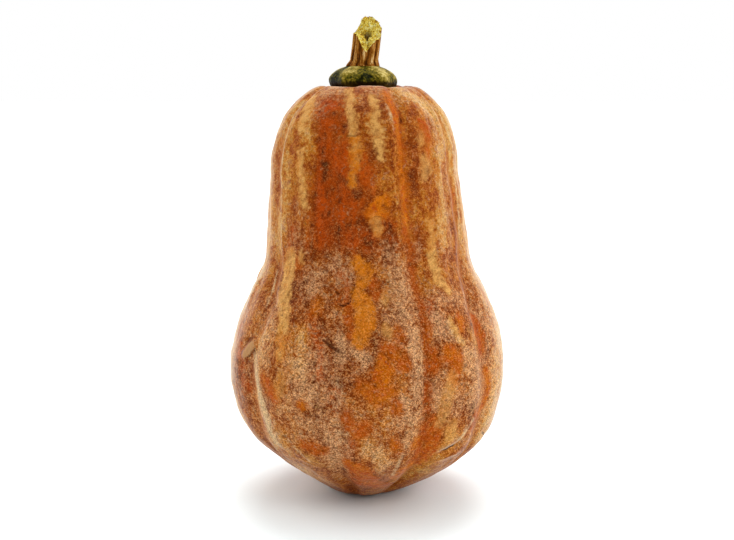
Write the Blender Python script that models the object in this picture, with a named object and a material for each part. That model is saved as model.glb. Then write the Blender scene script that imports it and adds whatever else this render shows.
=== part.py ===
"""A butternut squash standing on its blossom end: the ribbed fruit and its broken-off stem.

Metres, +Z up. The origin lies below the squash's middle, on the surface it stands on.
-Y is the front. An azimuth is in degrees from the front, positive towards +X.
"""

import math

import bmesh
import bpy
import numpy as np
from mathutils import Vector, noise

# Driving dimensions of the fruit
FRUIT_HEIGHT = 0.180
BULB_RADIUS = 0.063
NECK_RADIUS = 0.0435
FOOT_RADIUS = 0.0146
SOCKET_RADIUS = 0.0155
SOCKET_DEPTH = 0.0035
SEAM_GAP = 0.0004

# The fruit's mean outline as (radius, height), in four stretches from the blossom end up.
BLOSSOM_SCAR = ((0.0, 0.0012), (0.005, 0.0011), (0.009, 0.0))
BULB = (
    (FOOT_RADIUS, 0.0),
    (0.395 * BULB_RADIUS, 0.025 * FRUIT_HEIGHT),
    (0.66 * BULB_RADIUS, 0.085 * FRUIT_HEIGHT),
    (0.875 * BULB_RADIUS, 0.160 * FRUIT_HEIGHT),
    (0.975 * BULB_RADIUS, 0.250 * FRUIT_HEIGHT),
    (1.00 * BULB_RADIUS, 0.345 * FRUIT_HEIGHT),
    (0.94 * BULB_RADIUS, 0.445 * FRUIT_HEIGHT),
    (0.845 * BULB_RADIUS, 0.520 * FRUIT_HEIGHT),
)
NECK = (
    (1.09 * NECK_RADIUS, 0.585 * FRUIT_HEIGHT),
    (1.04 * NECK_RADIUS, 0.660 * FRUIT_HEIGHT),
    (0.99 * NECK_RADIUS, 0.760 * FRUIT_HEIGHT),
    (0.94 * NECK_RADIUS, 0.860 * FRUIT_HEIGHT),
    (0.83 * NECK_RADIUS, 0.935 * FRUIT_HEIGHT),
    (0.64 * NECK_RADIUS, 0.985 * FRUIT_HEIGHT),
    (0.47 * NECK_RADIUS, 1.006 * FRUIT_HEIGHT),
)
SOCKET = (
    (SOCKET_RADIUS, FRUIT_HEIGHT - 0.6 * SOCKET_DEPTH),
    (0.8 * SOCKET_RADIUS, FRUIT_HEIGHT - SOCKET_DEPTH),
    (0.0, FRUIT_HEIGHT - SOCKET_DEPTH),
)
OUTLINE = BLOSSOM_SCAR + BULB + NECK + SOCKET
SPAN_STEPS = 24

# Each groove between two ribs: its azimuth at the bulb and at the neck, its depth at the
# bulb and at the neck, its half width in degrees, and the side of its raised lip.
GROOVES = (
    (-54, -61, 0.0028, 0.0013, 6.0, 1),
    (-13, -18, 0.0023, 0.0011, 7.0, 1),
    (25, 24, 0.0028, 0.0018, 6.0, -1),
    (56, 68, 0.0030, 0.0013, 6.0, -1),
    (95, 101, 0.0025, 0.0012, 6.5, 1),
    (132, 130, 0.0028, 0.0016, 6.5, -1),
    (167, 165, 0.0023, 0.0012, 7.5, 1),
    (200, 202, 0.0027, 0.0014, 6.0, 1),
    (236, 235, 0.0024, 0.0011, 7.0, -1),
    (268, 263, 0.0028, 0.0013, 6.5, -1),
)
# A groove is a narrow valley in a wide one: the wide one's share of the depth, and its width
WIDE_SHARE = 0.45
WIDE_TIMES = 2.3
# The lip stands beside the groove: its height, and its place and width in groove widths
LIP_HEIGHT = 0.0006
LIP_PLACE = 1.25
LIP_WIDTH = 0.55
# The grooves wander by this many degrees, over this length
GROOVE_SWAY = 1.0
SWAY_LENGTH = 0.085
# Between these heights the bulb's figures turn into the neck's
WAIST = (0.085, 0.120)
# The relief dies out towards the foot and the socket, between these distances in foot radii
FADE = (0.8, 2.2)

# The slow unevenness of the fruit: waves as (height, number round, slant, starting angle)
SWELLS = (
    (0.0007, 2, 11.0, 40.0),
    (0.0005, 3, -17.0, 200.0),
    (0.0004, 5, 29.0, 110.0),
)
# The middle line's drift sideways: (height, x, y)
LEAN = (
    (0.0, -0.0010, -0.0003),
    (0.014, 0.0005, 0.0),
    (0.05, -0.0003, 0.0),
    (0.09, 0.0004, 0.0002),
    (0.12, -0.0003, 0.0005),
    (0.15, -0.0011, 0.0005),
    (0.18, 0.0003, 0.0),
)
# Where the flesh is fuller or flatter: azimuth, height, spread in degrees, spread upwards, amount
BULGES = (
    (95, 0.016, 35, 0.012, 0.0006),
    (-95, 0.016, 30, 0.010, -0.0007),
)
# Faces round the fruit and along its outline
FRUIT_COLUMNS = 108
FRUIT_RINGS = 42

# Driving dimensions of the stem, heights measured from the underside of its collar
STEM_BASE = FRUIT_HEIGHT - SOCKET_DEPTH + SEAM_GAP
COLLAR_RADIUS = 0.0145
COLLAR_HEIGHT = 0.0125
SHAFT_RADIUS = 0.0060
TORN_MIDDLE = 0.0258
HOLLOW_RADIUS = 0.0014
HOLLOW_DEPTH = 0.0040

# The collar's outline as (radius, height)
COLLAR = (
    (0.0, 0.0),
    (0.80 * COLLAR_RADIUS, 0.0),
    (0.93 * COLLAR_RADIUS, 0.25 * COLLAR_HEIGHT),
    (1.00 * COLLAR_RADIUS, 0.50 * COLLAR_HEIGHT),
    (0.92 * COLLAR_RADIUS, 0.72 * COLLAR_HEIGHT),
    (0.73 * COLLAR_RADIUS, 0.89 * COLLAR_HEIGHT),
    (0.50 * COLLAR_RADIUS, 1.00 * COLLAR_HEIGHT),
)
# The collar's lobes: how many, how deep, their turn, and the height over which they begin
COLLAR_LOBES = 5
LOBE_DEPTH = 0.0008
LOBE_START = 2.6
LOBE_RISE = 0.3 * COLLAR_HEIGHT
# The ridges along the shaft, and the share of its height in which it flares to the collar
SHAFT_RIDGES = 10
RIDGE_HEIGHT = 0.0006
RIDGE_START = 0.3
FLARE_SHARE = 0.22
# The torn rim of the shaft, round the stem: (azimuth, height over the collar's underside)
TORN_RIM = (
    (0, 0.0188),
    (18, 0.0200),
    (34, 0.0228),
    (62, 0.0238),
    (88, 0.0268),
    (112, 0.0296),
    (145, 0.0324),
    (172, 0.0340),
    (204, 0.0336),
    (216, 0.0308),
    (238, 0.0278),
    (268, 0.0262),
    (300, 0.0262),
    (325, 0.0238),
    (345, 0.0203),
)
# The middle line of the shaft: (height over the collar's underside, x, y)
SHAFT_LINE = (
    (0.0, -0.0010, 0.0),
    (0.0115, -0.0018, 0.0),
    (0.016, -0.0011, 0.0),
    (0.022, -0.0003, 0.0),
    (0.034, 0.0009, 0.0006),
)
# Lumps of torn tissue
KNOB_HEIGHT = 0.0006
KNOB_SIZE = 0.0022
# Faces round the stem and along each stretch of it
STEM_COLUMNS = 40
COLLAR_ROWS = 14
SHAFT_ROWS = 10
TORN_ROWS = 8


def smooth_curve(points, steps):
    """Points on a Catmull-Rom curve through the given points, with steps to a span."""
    p = np.array(points, float)
    p = np.vstack([2 * p[0] - p[1], p, 2 * p[-1] - p[-2]])
    t = np.linspace(0, 1, steps, endpoint=False)[:, None]
    spans = []
    for before, start, end, after in zip(p, p[1:], p[2:], p[3:]):
        spans.append(
            start
            + 0.5 * t * (end - before)
            + 0.5 * t**2 * (2 * before - 5 * start + 4 * end - after)
            + 0.5 * t**3 * (3 * start - before - 3 * end + after)
        )
    return np.vstack([*spans, p[-2:-1]])


def spread_by_bend(line, count):
    """count + 1 points along a line, closer together where it bends."""
    steps = np.diff(line, axis=0)
    lengths = np.linalg.norm(steps, axis=1)
    angles = np.unwrap(np.arctan2(steps[:, 1], steps[:, 0]))
    bends = np.abs(np.diff(angles, append=angles[-1]))
    share = np.cumsum(lengths / lengths.sum() + bends / bends.sum())
    share = np.concatenate([[0], share]) / share[-1]
    at = np.linspace(0, 1, count + 1)
    return np.column_stack([np.interp(at, share, line[:, k]) for k in (0, 1)])


def smoothstep(low, high, value):
    t = np.clip((value - low) / (high - low), 0, 1)
    return t * t * (3 - 2 * t)


def degrees_between(azimuth, middle):
    return (azimuth - middle + 180) % 360 - 180


def groove_relief(azimuth, height):
    """How far the grooves and their lips move the fruit's surface outwards."""
    neck = smoothstep(*WAIST, height)
    sway = GROOVE_SWAY * np.sin(height / SWAY_LENGTH * math.tau)
    relief = np.zeros_like(azimuth)
    for bulb_at, neck_at, bulb_depth, neck_depth, width, lip_side in GROOVES:
        off = degrees_between(azimuth, bulb_at + (neck_at - bulb_at) * neck + sway)
        depth = bulb_depth + (neck_depth - bulb_depth) * neck
        narrow = np.exp(-((off / width) ** 2))
        wide = np.exp(-((off / (WIDE_TIMES * width)) ** 2))
        lip = np.exp(-((off - lip_side * LIP_PLACE * width) ** 2) / (LIP_WIDTH * width) ** 2)
        relief -= depth * ((1 - WIDE_SHARE) * narrow + WIDE_SHARE * wide)
        relief += LIP_HEIGHT * lip
    return relief


def swell_relief(azimuth, height):
    """The fruit's slow unevenness, as a sum of slanting waves."""
    relief = np.zeros_like(azimuth)
    for size, turns, slant, start in SWELLS:
        relief += size * np.sin(np.radians(turns * azimuth + start) + slant * height)
    return relief


def bulge_relief(azimuth, height):
    """The local fullness of the flesh, as soft round swellings."""
    relief = np.zeros_like(azimuth)
    for at, level, wide, tall, amount in BULGES:
        off = degrees_between(azimuth, at) / wide
        relief += amount * np.exp(-(off**2) - ((height - level) / tall) ** 2)
    return relief


def line_offset(line, height):
    """The (x, y) of a middle line at each height."""
    line = smooth_curve(line, SPAN_STEPS)
    return [np.interp(height, line[:, 0], line[:, k]) for k in (1, 2)]


def fruit_points(columns, rings):
    """The fruit's surface as [ring, column, xyz], from the blossom end to the socket."""
    outline = spread_by_bend(smooth_curve(OUTLINE, SPAN_STEPS), rings)
    along = np.gradient(outline, axis=0)
    along /= np.linalg.norm(along, axis=1)[:, None]
    radius, height = (c[:, None] for c in outline.T)
    azimuth = np.broadcast_to(np.arange(columns) * 360 / columns, (rings + 1, columns))
    height = np.broadcast_to(height, azimuth.shape)
    fade = smoothstep(*FADE, radius / FOOT_RADIUS)
    relief = groove_relief(azimuth, height) + swell_relief(azimuth, height)
    relief = fade * (relief + bulge_relief(azimuth, height))
    radius = radius + relief * along[:, 1:]
    lift = np.maximum(height - relief * along[:, :1], 0)
    lean_x, lean_y = line_offset(LEAN, lift)
    turn = np.radians(azimuth)
    return np.stack([radius * np.sin(turn) + lean_x, lean_y - radius * np.cos(turn), lift], -1)


def rim_heights(azimuth):
    """The height of the torn rim at each azimuth."""
    rim = [(a - 360, h) for a, h in TORN_RIM] + list(TORN_RIM) + [(a + 360, h) for a, h in TORN_RIM]
    rim = smooth_curve(rim, SPAN_STEPS)
    return np.interp(azimuth, rim[:, 0], rim[:, 1])


def knobs(points):
    """Seeded lumps of torn tissue, one height for each point."""
    return np.array([noise.noise(Vector(p) / KNOB_SIZE) for p in points.reshape(-1, 3)]).reshape(
        points.shape[:-1]
    )


def stem_points(columns):
    """The stem's surface as [row, column, xyz]: underside, collar, shaft, then torn face."""
    azimuth = np.arange(columns) * 360 / columns
    turn = np.radians(azimuth)
    collar = spread_by_bend(smooth_curve(COLLAR, SPAN_STEPS), COLLAR_ROWS)
    lobes = np.cos(COLLAR_LOBES * turn + LOBE_START) + 0.5 * np.cos(2 * COLLAR_LOBES * turn)
    ridges = np.abs(np.cos(SHAFT_RIDGES / 2 * turn + RIDGE_START))
    rows = []
    for radius, height in collar:
        bulge = smoothstep(0, LOBE_RISE, height) * LOBE_DEPTH * lobes * radius / COLLAR_RADIUS
        rows.append((radius + bulge, np.full(columns, height)))
    rim = rim_heights(azimuth)
    start = collar[-1, 0]
    for row in range(1, SHAFT_ROWS + 1):
        share = row / SHAFT_ROWS
        height = COLLAR_HEIGHT + (rim - COLLAR_HEIGHT) * share
        waist = start + (SHAFT_RADIUS - start) * smoothstep(0, FLARE_SHARE, np.full(columns, share))
        rows.append((waist + RIDGE_HEIGHT * (ridges - ridges.mean()), height))
    edge = rows[-1][0]
    for row in range(1, TORN_ROWS + 1):
        share = 1 - row / TORN_ROWS
        radius = edge * share
        height = TORN_MIDDLE + (rim - TORN_MIDDLE) * share
        hollow = 1 - smoothstep(0.5 * HOLLOW_RADIUS, 1.5 * HOLLOW_RADIUS, radius)
        rows.append((radius, height - HOLLOW_DEPTH * hollow))
    points = []
    for radius, height in rows:
        x, y = line_offset(SHAFT_LINE, height)
        points.append(np.stack([radius * np.sin(turn) + x, y - radius * np.cos(turn), height], -1))
    points = np.array(points)
    torn = np.arange(len(rows)) > COLLAR_ROWS + SHAFT_ROWS
    points[torn, :, 2] += KNOB_HEIGHT * knobs(points[torn])
    points[-1] = points[-1].mean(0)
    points[..., 2] += STEM_BASE
    return points


def wrapped_sphere(name, points, material):
    """A closed solid: a UV sphere whose rows, from its south pole up, take the points."""
    rows, columns = points.shape[:2]
    mesh = bpy.data.meshes.new(name)
    bm = bmesh.new()
    bottom = bm.verts.new(points[0].mean(0))
    top = bm.verts.new(points[-1].mean(0))
    rings = [[bm.verts.new(p) for p in ring] for ring in points[1:-1]]
    for c in range(columns):
        d = (c + 1) % columns
        bm.faces.new((bottom, rings[0][d], rings[0][c]))
        bm.faces.new((top, rings[-1][c], rings[-1][d]))
        for low, high in zip(rings, rings[1:]):
            bm.faces.new((low[c], low[d], high[d], high[c]))
    bm.to_mesh(mesh)
    bm.free()
    mesh.shade_smooth()
    mesh.materials.append(material)
    obj = bpy.data.objects.new(name, mesh)
    bpy.context.scene.collection.objects.link(obj)
    return obj


def plain_material(name, colour, roughness):
    material = bpy.data.materials.new(name)
    material.use_nodes = True
    shader = material.node_tree.nodes["Principled BSDF"]
    shader.inputs["Base Color"].default_value = (*colour, 1)
    shader.inputs["Roughness"].default_value = roughness
    shader.inputs["Metallic"].default_value = 0
    return material


def main():
    for obj in list(bpy.data.objects):
        bpy.data.objects.remove(obj)
    skin = plain_material("skin", (0.42, 0.16, 0.045), 0.6)
    bark = plain_material("stem", (0.24, 0.17, 0.05), 0.8)
    fruit = fruit_points(FRUIT_COLUMNS, FRUIT_RINGS)
    stem = stem_points(STEM_COLUMNS)
    middle = (fruit.min((0, 1)) + fruit.max((0, 1))) / 2 * (1, 1, 0)
    wrapped_sphere("fruit", fruit - middle, skin)
    wrapped_sphere("stem", stem - middle, bark)


main()
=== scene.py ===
# %% [markdown]
# # A butternut squash, standing on its blossom end
#
# The real fruit is a bulb under a long neck, with ten ribs, a waxy mottled rind, and a
# dry stem that was torn off above a green collar. It could be sculpted by hand, but its
# ribs and its outline follow a rule, so Geometry Nodes make them, and only the cracks,
# scars and markings are placed one by one. This first cell loads the packed model, whose
# frame and box the finished pieces must keep.

# %% Load the frame
import math

import bpy
import numpy as np
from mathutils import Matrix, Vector, noise
from mathutils.bvhtree import BVHTree


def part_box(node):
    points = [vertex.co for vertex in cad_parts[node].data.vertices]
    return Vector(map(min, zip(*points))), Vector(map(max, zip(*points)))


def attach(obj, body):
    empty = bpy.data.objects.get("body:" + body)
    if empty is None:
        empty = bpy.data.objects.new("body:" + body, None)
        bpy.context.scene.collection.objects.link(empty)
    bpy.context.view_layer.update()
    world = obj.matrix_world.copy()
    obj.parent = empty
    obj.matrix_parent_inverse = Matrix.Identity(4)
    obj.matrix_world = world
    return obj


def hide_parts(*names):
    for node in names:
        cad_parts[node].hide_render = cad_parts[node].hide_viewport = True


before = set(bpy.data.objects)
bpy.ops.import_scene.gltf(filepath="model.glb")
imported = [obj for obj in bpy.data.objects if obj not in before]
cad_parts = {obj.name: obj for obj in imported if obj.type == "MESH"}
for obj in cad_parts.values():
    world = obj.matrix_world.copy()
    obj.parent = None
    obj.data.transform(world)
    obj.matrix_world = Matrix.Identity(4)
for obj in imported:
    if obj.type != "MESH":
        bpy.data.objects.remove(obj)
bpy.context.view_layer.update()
scene = bpy.context.scene

# %% [markdown]
# ## A short way to write node trees
#
# A node tree is arithmetic drawn as boxes. Adding every Math node by hand hides the
# formula, so a Field wraps one output socket, and +, -, * and / on it add the nodes.
# The same class serves the Geometry Nodes here and the materials later. Two helpers come
# first: one adds a node and one joins a number, a socket or a field to an input.


# %% Adding and joining nodes
def join(tree, value, plug):
    """Links a field or socket to an input, or gives the input a plain value."""
    if isinstance(value, Field):
        tree.links.new(value.socket, plug)
    elif isinstance(value, bpy.types.NodeSocket):
        tree.links.new(value, plug)
    else:
        plug.default_value = value


def node(tree, kind, inputs=(), **settings):
    """Adds a node, sets its settings, and feeds its inputs with numbers, sockets or fields."""
    made = tree.nodes.new(kind)
    for name, value in settings.items():
        setattr(made, name, value)
    for name, value in dict(inputs).items():
        join(tree, value, made.inputs[name])
    return made


print("helpers:", join.__name__, "and", node.__name__)

# %% [markdown]
# ## Arithmetic on fields
#
# Python lets a class say what +, -, * and / mean, so a sum of fields can be written as it
# would be on paper. Two more steps come back all the time: a smooth ramp between two
# values, and a bell that is 1 where a field is 0, which draws a line along its zero.


# %% The Field class
class Field:
    """A number that varies over a surface, as an output socket of a node tree."""

    def __init__(self, tree, socket):
        self.tree = tree
        self.socket = socket

    def math(self, operation, *others):
        values = dict(enumerate((self, *others)))
        made = node(self.tree, "ShaderNodeMath", values, operation=operation)
        return Field(self.tree, made.outputs[0])

    def __add__(self, other):
        return self.math("ADD", other)

    def __sub__(self, other):
        return self.math("SUBTRACT", other)

    def __rsub__(self, other):
        return self.math("MULTIPLY", -1.0).math("ADD", other)

    def __mul__(self, other):
        return self.math("MULTIPLY", other)

    def __truediv__(self, other):
        return self.math("DIVIDE", other)

    def __neg__(self):
        return self.math("MULTIPLY", -1.0)

    def between(self, low, high, start=0.0, end=1.0):
        """Runs smoothly from start to end as the field goes from low to high."""
        values = {0: self, 1: low, 2: high, 3: start, 4: end}
        made = node(self.tree, "ShaderNodeMapRange", values, interpolation_type="SMOOTHSTEP")
        return Field(self.tree, made.outputs[0])

    def bell(self, width):
        """1 where the field is 0, falling off as a bell of that width."""
        share = self / width
        return (-(share * share)).math("EXPONENT")


print("a Field can", [name for name in vars(Field) if not name.startswith("_")])

# %% [markdown]
# ## Vectors and noise
#
# A place has three numbers and a field has one, so places are taken apart and put together
# again. Noise is what makes the fruit look grown: the same node roughens the surface at
# one size and mottles the skin at another.


# %% Vectors and noise
def parts(tree, vector):
    """The x, y and z of a vector socket, as fields."""
    split = node(tree, "ShaderNodeSeparateXYZ", {0: vector})
    return [Field(tree, out) for out in split.outputs]


def vector(tree, x, y, z):
    return node(tree, "ShaderNodeCombineXYZ", {0: x, 1: y, 2: z}).outputs[0]


def noise_field(tree, place, scale, detail):
    """Noise from about -0.5 to 0.5."""
    values = {"Vector": place, "Scale": scale, "Detail": detail}
    return Field(tree, node(tree, "ShaderNodeTexNoise", values).outputs[0]) - 0.5


print("helpers:", parts.__name__, vector.__name__, noise_field.__name__)

# %% [markdown]
# ## The fruit's sizes
#
# An outline is the curve that a lathe would turn, as (radius, height). The ribs are what
# is left between ten grooves. Every number is in metres or degrees; an azimuth runs from
# the front (-Y) towards +X. These are the same numbers that the solid model is made from.

# %% Outline, grooves and middle line
HEIGHT = 0.180
BULB_RADIUS = 0.063
NECK_RADIUS = 0.0435
FOOT_RADIUS = 0.0146
SOCKET_RADIUS = 0.0155
SOCKET_DEPTH = 0.0035

BLOSSOM_SCAR = ((0.0, 0.0012), (0.005, 0.0011), (0.009, 0.0), (FOOT_RADIUS, 0.0))
BULB = (
    (0.395, 0.025),
    (0.66, 0.085),
    (0.875, 0.160),
    (0.975, 0.250),
    (1.00, 0.345),
    (0.94, 0.445),
    (0.845, 0.520),
)
NECK = (
    (1.09, 0.585),
    (1.04, 0.660),
    (0.99, 0.760),
    (0.94, 0.860),
    (0.83, 0.935),
    (0.64, 0.985),
    (0.47, 1.006),
)
SOCKET = (
    (SOCKET_RADIUS, HEIGHT - 0.6 * SOCKET_DEPTH),
    (0.8 * SOCKET_RADIUS, HEIGHT - SOCKET_DEPTH),
    (0.0, HEIGHT - SOCKET_DEPTH),
)
OUTLINE = (
    *BLOSSOM_SCAR,
    *((BULB_RADIUS * r, HEIGHT * h) for r, h in BULB),
    *((NECK_RADIUS * r, HEIGHT * h) for r, h in NECK),
    *SOCKET,
)
# Azimuth at the bulb and neck, depth at the bulb and neck, half width, side of the lip
GROOVES = (
    (-54, -61, 0.0028, 0.0013, 6.0, 1),
    (-13, -18, 0.0023, 0.0011, 7.0, 1),
    (25, 24, 0.0028, 0.0018, 6.0, -1),
    (56, 68, 0.0030, 0.0013, 6.0, -1),
    (95, 101, 0.0025, 0.0012, 6.5, 1),
    (132, 130, 0.0028, 0.0016, 6.5, -1),
    (167, 165, 0.0023, 0.0012, 7.5, 1),
    (200, 202, 0.0027, 0.0014, 6.0, 1),
    (236, 235, 0.0024, 0.0011, 7.0, -1),
    (268, 263, 0.0028, 0.0013, 6.5, -1),
)
GROOVE_INPUTS = (
    "Bulb azimuth",
    "Neck azimuth",
    "Bulb depth",
    "Neck depth",
    "Half width",
    "Lip side",
)
# Waves as (height, number round, slant, starting angle)
SWELLS = ((0.0007, 2, 11.0, 40.0), (0.0005, 3, -17.0, 200.0), (0.0004, 5, 29.0, 110.0))
# Fuller or flatter flesh: azimuth, height, spread in degrees, spread upwards, amount
BULGES = ((95, 0.016, 35, 0.012, 0.0006), (-95, 0.016, 30, 0.010, -0.0007))
# The middle line: (height, x, y)
LEAN = (
    (0.0, -0.0010, -0.0003),
    (0.014, 0.0005, 0.0),
    (0.05, -0.0003, 0.0),
    (0.09, 0.0004, 0.0002),
    (0.12, -0.0003, 0.0005),
    (0.15, -0.0011, 0.0005),
    (0.18, 0.0003, 0.0),
)
SPAN_STEPS = 24
# The relief dies out towards the foot and the socket, between these distances in foot radii
FADE = (0.8, 2.2)
print(len(OUTLINE), "outline points,", len(GROOVES), "grooves")

# %% [markdown]
# ## Curves that the tree samples
#
# A Catmull-Rom curve passes through its points, so few points give a smooth outline.
# Geometry Nodes read it from a helper curve object, which is removed once the fruit is
# a plain mesh.


# %% Helper curves
def helper_curve(name, points):
    data = bpy.data.curves.new(name, "CURVE")
    data.dimensions = "3D"
    spline = data.splines.new("POLY")
    spline.points.add(len(points) - 1)
    for point, place in zip(spline.points, points):
        point.co = (*place, 1)
    made = bpy.data.objects.new(name, data)
    scene.collection.objects.link(made)
    return made


outline_curve = helper_curve("outline_helper", [(r, 0, h) for r, h in OUTLINE])
middle_curve = helper_curve("middle_helper", [(x, y, h) for h, x, y in LEAN])
print("outline from", OUTLINE[0], "to", OUTLINE[-1])

# %% [markdown]
# ## One groove, as a node group
#
# Between two ribs of the real squash runs a narrow crease in a wider hollow, and the
# flesh stands up a little beside it. A group makes that cross-section once, with its
# place and depth as named inputs, and the fruit's tree uses it ten times.


# %% The groove group
def group_with(name, kind, inputs, outputs):
    """An empty node group with named number inputs and outputs."""
    group = bpy.data.node_groups.new(name, kind)
    for direction, names in (("INPUT", inputs), ("OUTPUT", outputs)):
        for each in names:
            group.interface.new_socket(each, in_out=direction, socket_type="NodeSocketFloat")
    return group, group.nodes.new("NodeGroupInput"), group.nodes.new("NodeGroupOutput")


WIDE_SHARE = 0.45
WIDE_TIMES = 2.3
LIP_HEIGHT = 0.0005
LIP_PLACE = 1.25
LIP_WIDTH = 0.55
# A sharp crease at the groove's bottom, too narrow for the solid model
CREASE_WIDTH = 0.28
CREASE_SHARE = 0.08

groove_group, asked, given = group_with(
    "Groove",
    "GeometryNodeTree",
    ("Azimuth", "Neck share", "Sway", *GROOVE_INPUTS),
    ("Relief", "Valley", "Crease"),
)
azimuth, neck, sway, bulb_at, neck_at, bulb_deep, neck_deep, half_width, lip_side = (
    Field(groove_group, out) for out in asked.outputs[: 3 + len(GROOVE_INPUTS)]
)
off = (azimuth - (bulb_at + (neck_at - bulb_at) * neck + sway)).math("WRAP", 180.0, -180.0)
valley = off.bell(half_width)
wide = off.bell(half_width * WIDE_TIMES)
lip = (off - lip_side * LIP_PLACE * half_width).bell(half_width * LIP_WIDTH)
crease = off.bell(half_width * CREASE_WIDTH)
depth = bulb_deep + (neck_deep - bulb_deep) * neck
relief = lip * LIP_HEIGHT - depth * (valley * (1 - WIDE_SHARE) + wide * WIDE_SHARE)
relief = relief - crease * depth * CREASE_SHARE
for plug, value in zip(given.inputs, (relief, valley, crease)):
    join(groove_group, value, plug)
print("groove group:", len(groove_group.nodes), "nodes")

# %% [markdown]
# ## The fruit's tree and its named sizes
#
# A tree's inputs are what a user of the finished node setup would turn, so each has a
# name and a size. A helper makes them from a table, because the stem's fibres need the
# same later on.


# %% Named inputs
def tree_with(name, sizes, finish):
    """A tree with named inputs for its sizes and its finish, and the sockets they feed."""
    made = bpy.data.node_groups.new(name, "GeometryNodeTree")
    kinds = {"Geometry": "NodeSocketGeometry"} | {key: kind for key, (kind, _) in sizes.items()}
    for key, kind in (kinds | {finish: "NodeSocketMaterial"}).items():
        made.interface.new_socket(key, in_out="INPUT", socket_type=kind)
    made.interface.new_socket("Geometry", in_out="OUTPUT", socket_type="NodeSocketGeometry")
    return made, {out.name: out for out in made.nodes.new("NodeGroupInput").outputs}


SIZES = {
    "Segments": ("NodeSocketInt", 360),
    "Rings": ("NodeSocketInt", 272),
    "Outline": ("NodeSocketObject", outline_curve),
    "Middle line": ("NodeSocketObject", middle_curve),
    "Foot radius": ("NodeSocketFloat", FOOT_RADIUS),
    "Groove sway": ("NodeSocketFloat", 1.0),
    "Sway length": ("NodeSocketFloat", 0.085),
    "Groove wobble": ("NodeSocketFloat", 9.0),
    "Groove unevenness": ("NodeSocketFloat", 1.4),
    "Waist start": ("NodeSocketFloat", 0.085),
    "Waist end": ("NodeSocketFloat", 0.120),
    "Fine ribs": ("NodeSocketFloat", 0.00056),
    "Dimples": ("NodeSocketFloat", 0.00120),
}
tree, size = tree_with("Ribbed fruit", SIZES, "Rind")
number = {name: Field(tree, size[name]) for name in SIZES}
print("named inputs:", list(size))

# %% [markdown]
# ## Rows and columns
#
# A UV sphere has rows and columns like a globe. Each of its points keeps its azimuth, and
# its row picks a place along the outline; the relief of the grooves and swells then moves
# it along the outline's normal. The columns are closer than a pixel, so the ribs need no
# subdivision.


# %% The sphere and the outline
def sampled(curve, mode, at):
    """Position and tangent fields of a helper curve, made a Catmull-Rom curve first."""
    line = node(tree, "GeometryNodeObjectInfo", {"Object": curve}).outputs["Geometry"]
    kind = "GeometryNodeCurveSplineType"
    line = node(tree, kind, {"Curve": line}, spline_type="CATMULL_ROM").outputs[0]
    values = {0: line, "Resolution": SPAN_STEPS}
    line = node(tree, "GeometryNodeSetSplineResolution", values).outputs[0]
    found = node(tree, "GeometryNodeSampleCurve", {"Curves": line}, mode=mode)
    join(tree, at, found.inputs["Factor" if mode == "FACTOR" else "Length"])
    return parts(tree, found.outputs["Position"]), parts(tree, found.outputs["Tangent"])


values = {"Segments": size["Segments"], "Rings": size["Rings"], "Radius": 1.0}
ball = node(tree, "GeometryNodeMeshUVSphere", values)
ball_x, ball_y, ball_z = parts(tree, tree.nodes.new("GeometryNodeInputPosition").outputs[0])
azimuth = ball_x.math("ARCTAN2", -ball_y).math("DEGREES")
row = (-ball_z).math("MINIMUM", 1.0).math("MAXIMUM", -1.0).math("ARCCOSINE") / math.pi
(radius, _, level), (along_r, _, along_z) = sampled(size["Outline"], "FACTOR", row)
turn = azimuth * (math.pi / 180)
around = (turn.math("SINE"), turn.math("COSINE"))
print("sphere and outline:", len(tree.nodes), "nodes")

# %% [markdown]
# ## Ten grooves
#
# A groove never runs quite straight or keeps its depth: it sways over the height, wobbles
# with a noise and is shallower in places. The noise reads the sine and cosine of the
# azimuth instead of the azimuth itself, so that it has no seam at the back. The valleys
# and creases are kept, because the rind is coloured by them later.


# %% The grooves
def uneven(across, along, detail=2.0):
    """Noise over the unrolled fruit: the larger the first two numbers, the finer it is."""
    where = vector(tree, around[0] * across, around[1] * across, level * along)
    return noise_field(tree, where, 1.0, detail)


neck = level.between(number["Waist start"], number["Waist end"])
sway = (level / number["Sway length"] * math.tau).math("SINE") * number["Groove sway"]
azimuth_there = azimuth + uneven(1.5, 45.0) * number["Groove wobble"]
relief, valley, crease = 0.0, 0.0, 0.0
for groove in GROOVES:
    values = dict(zip(GROOVE_INPUTS, map(float, groove)))
    values |= {"Azimuth": azimuth_there, "Neck share": neck, "Sway": sway}
    made = node(tree, "GeometryNodeGroup", values, node_tree=groove_group)
    relief = Field(tree, made.outputs[0]) + relief
    valley = Field(tree, made.outputs[1]) + valley
    crease = Field(tree, made.outputs[2]) + crease
relief = relief * (uneven(2.0, 60.0) * number["Groove unevenness"] + 1.0)
print("with its grooves the tree has", len(tree.nodes), "nodes")

# %% [markdown]
# ## Swells, fine ribs and dimples
#
# No squash is even. Slow slanting waves make it lopsided, as in the solid model. On top,
# noise that is stretched along the height gives fine lengthwise ribs, and round noise
# gives shallow dimples, both too small for the solid model but seen where light grazes.

# %% Swells, ribs and dimples
for high, turns, slant, start in SWELLS:
    wave = (azimuth * turns + start) * (math.pi / 180) + level * slant
    relief = relief + wave.math("SINE") * high
for at, middle, wide_degrees, tall, amount in BULGES:
    round_off = (azimuth - at).math("WRAP", 180.0, -180.0).bell(wide_degrees)
    relief = relief + round_off * (level - middle).bell(tall) * amount
relief = relief + uneven(7.0, 22.0, 1.0) * number["Fine ribs"]
relief = relief + uneven(5.0, 95.0) * number["Dimples"]
fade = (radius / number["Foot radius"]).between(*FADE)
relief = relief * fade
print("relief:", len(tree.nodes), "nodes")

# %% [markdown]
# ## From relief to a dressed surface
#
# The relief moves each point along the outline's normal, the middle line leans it, and a
# new position is set. What the rind's colours need is stored before that, since nodes read
# a field on the points as they are, and only the sphere's own rows know their level.

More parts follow.
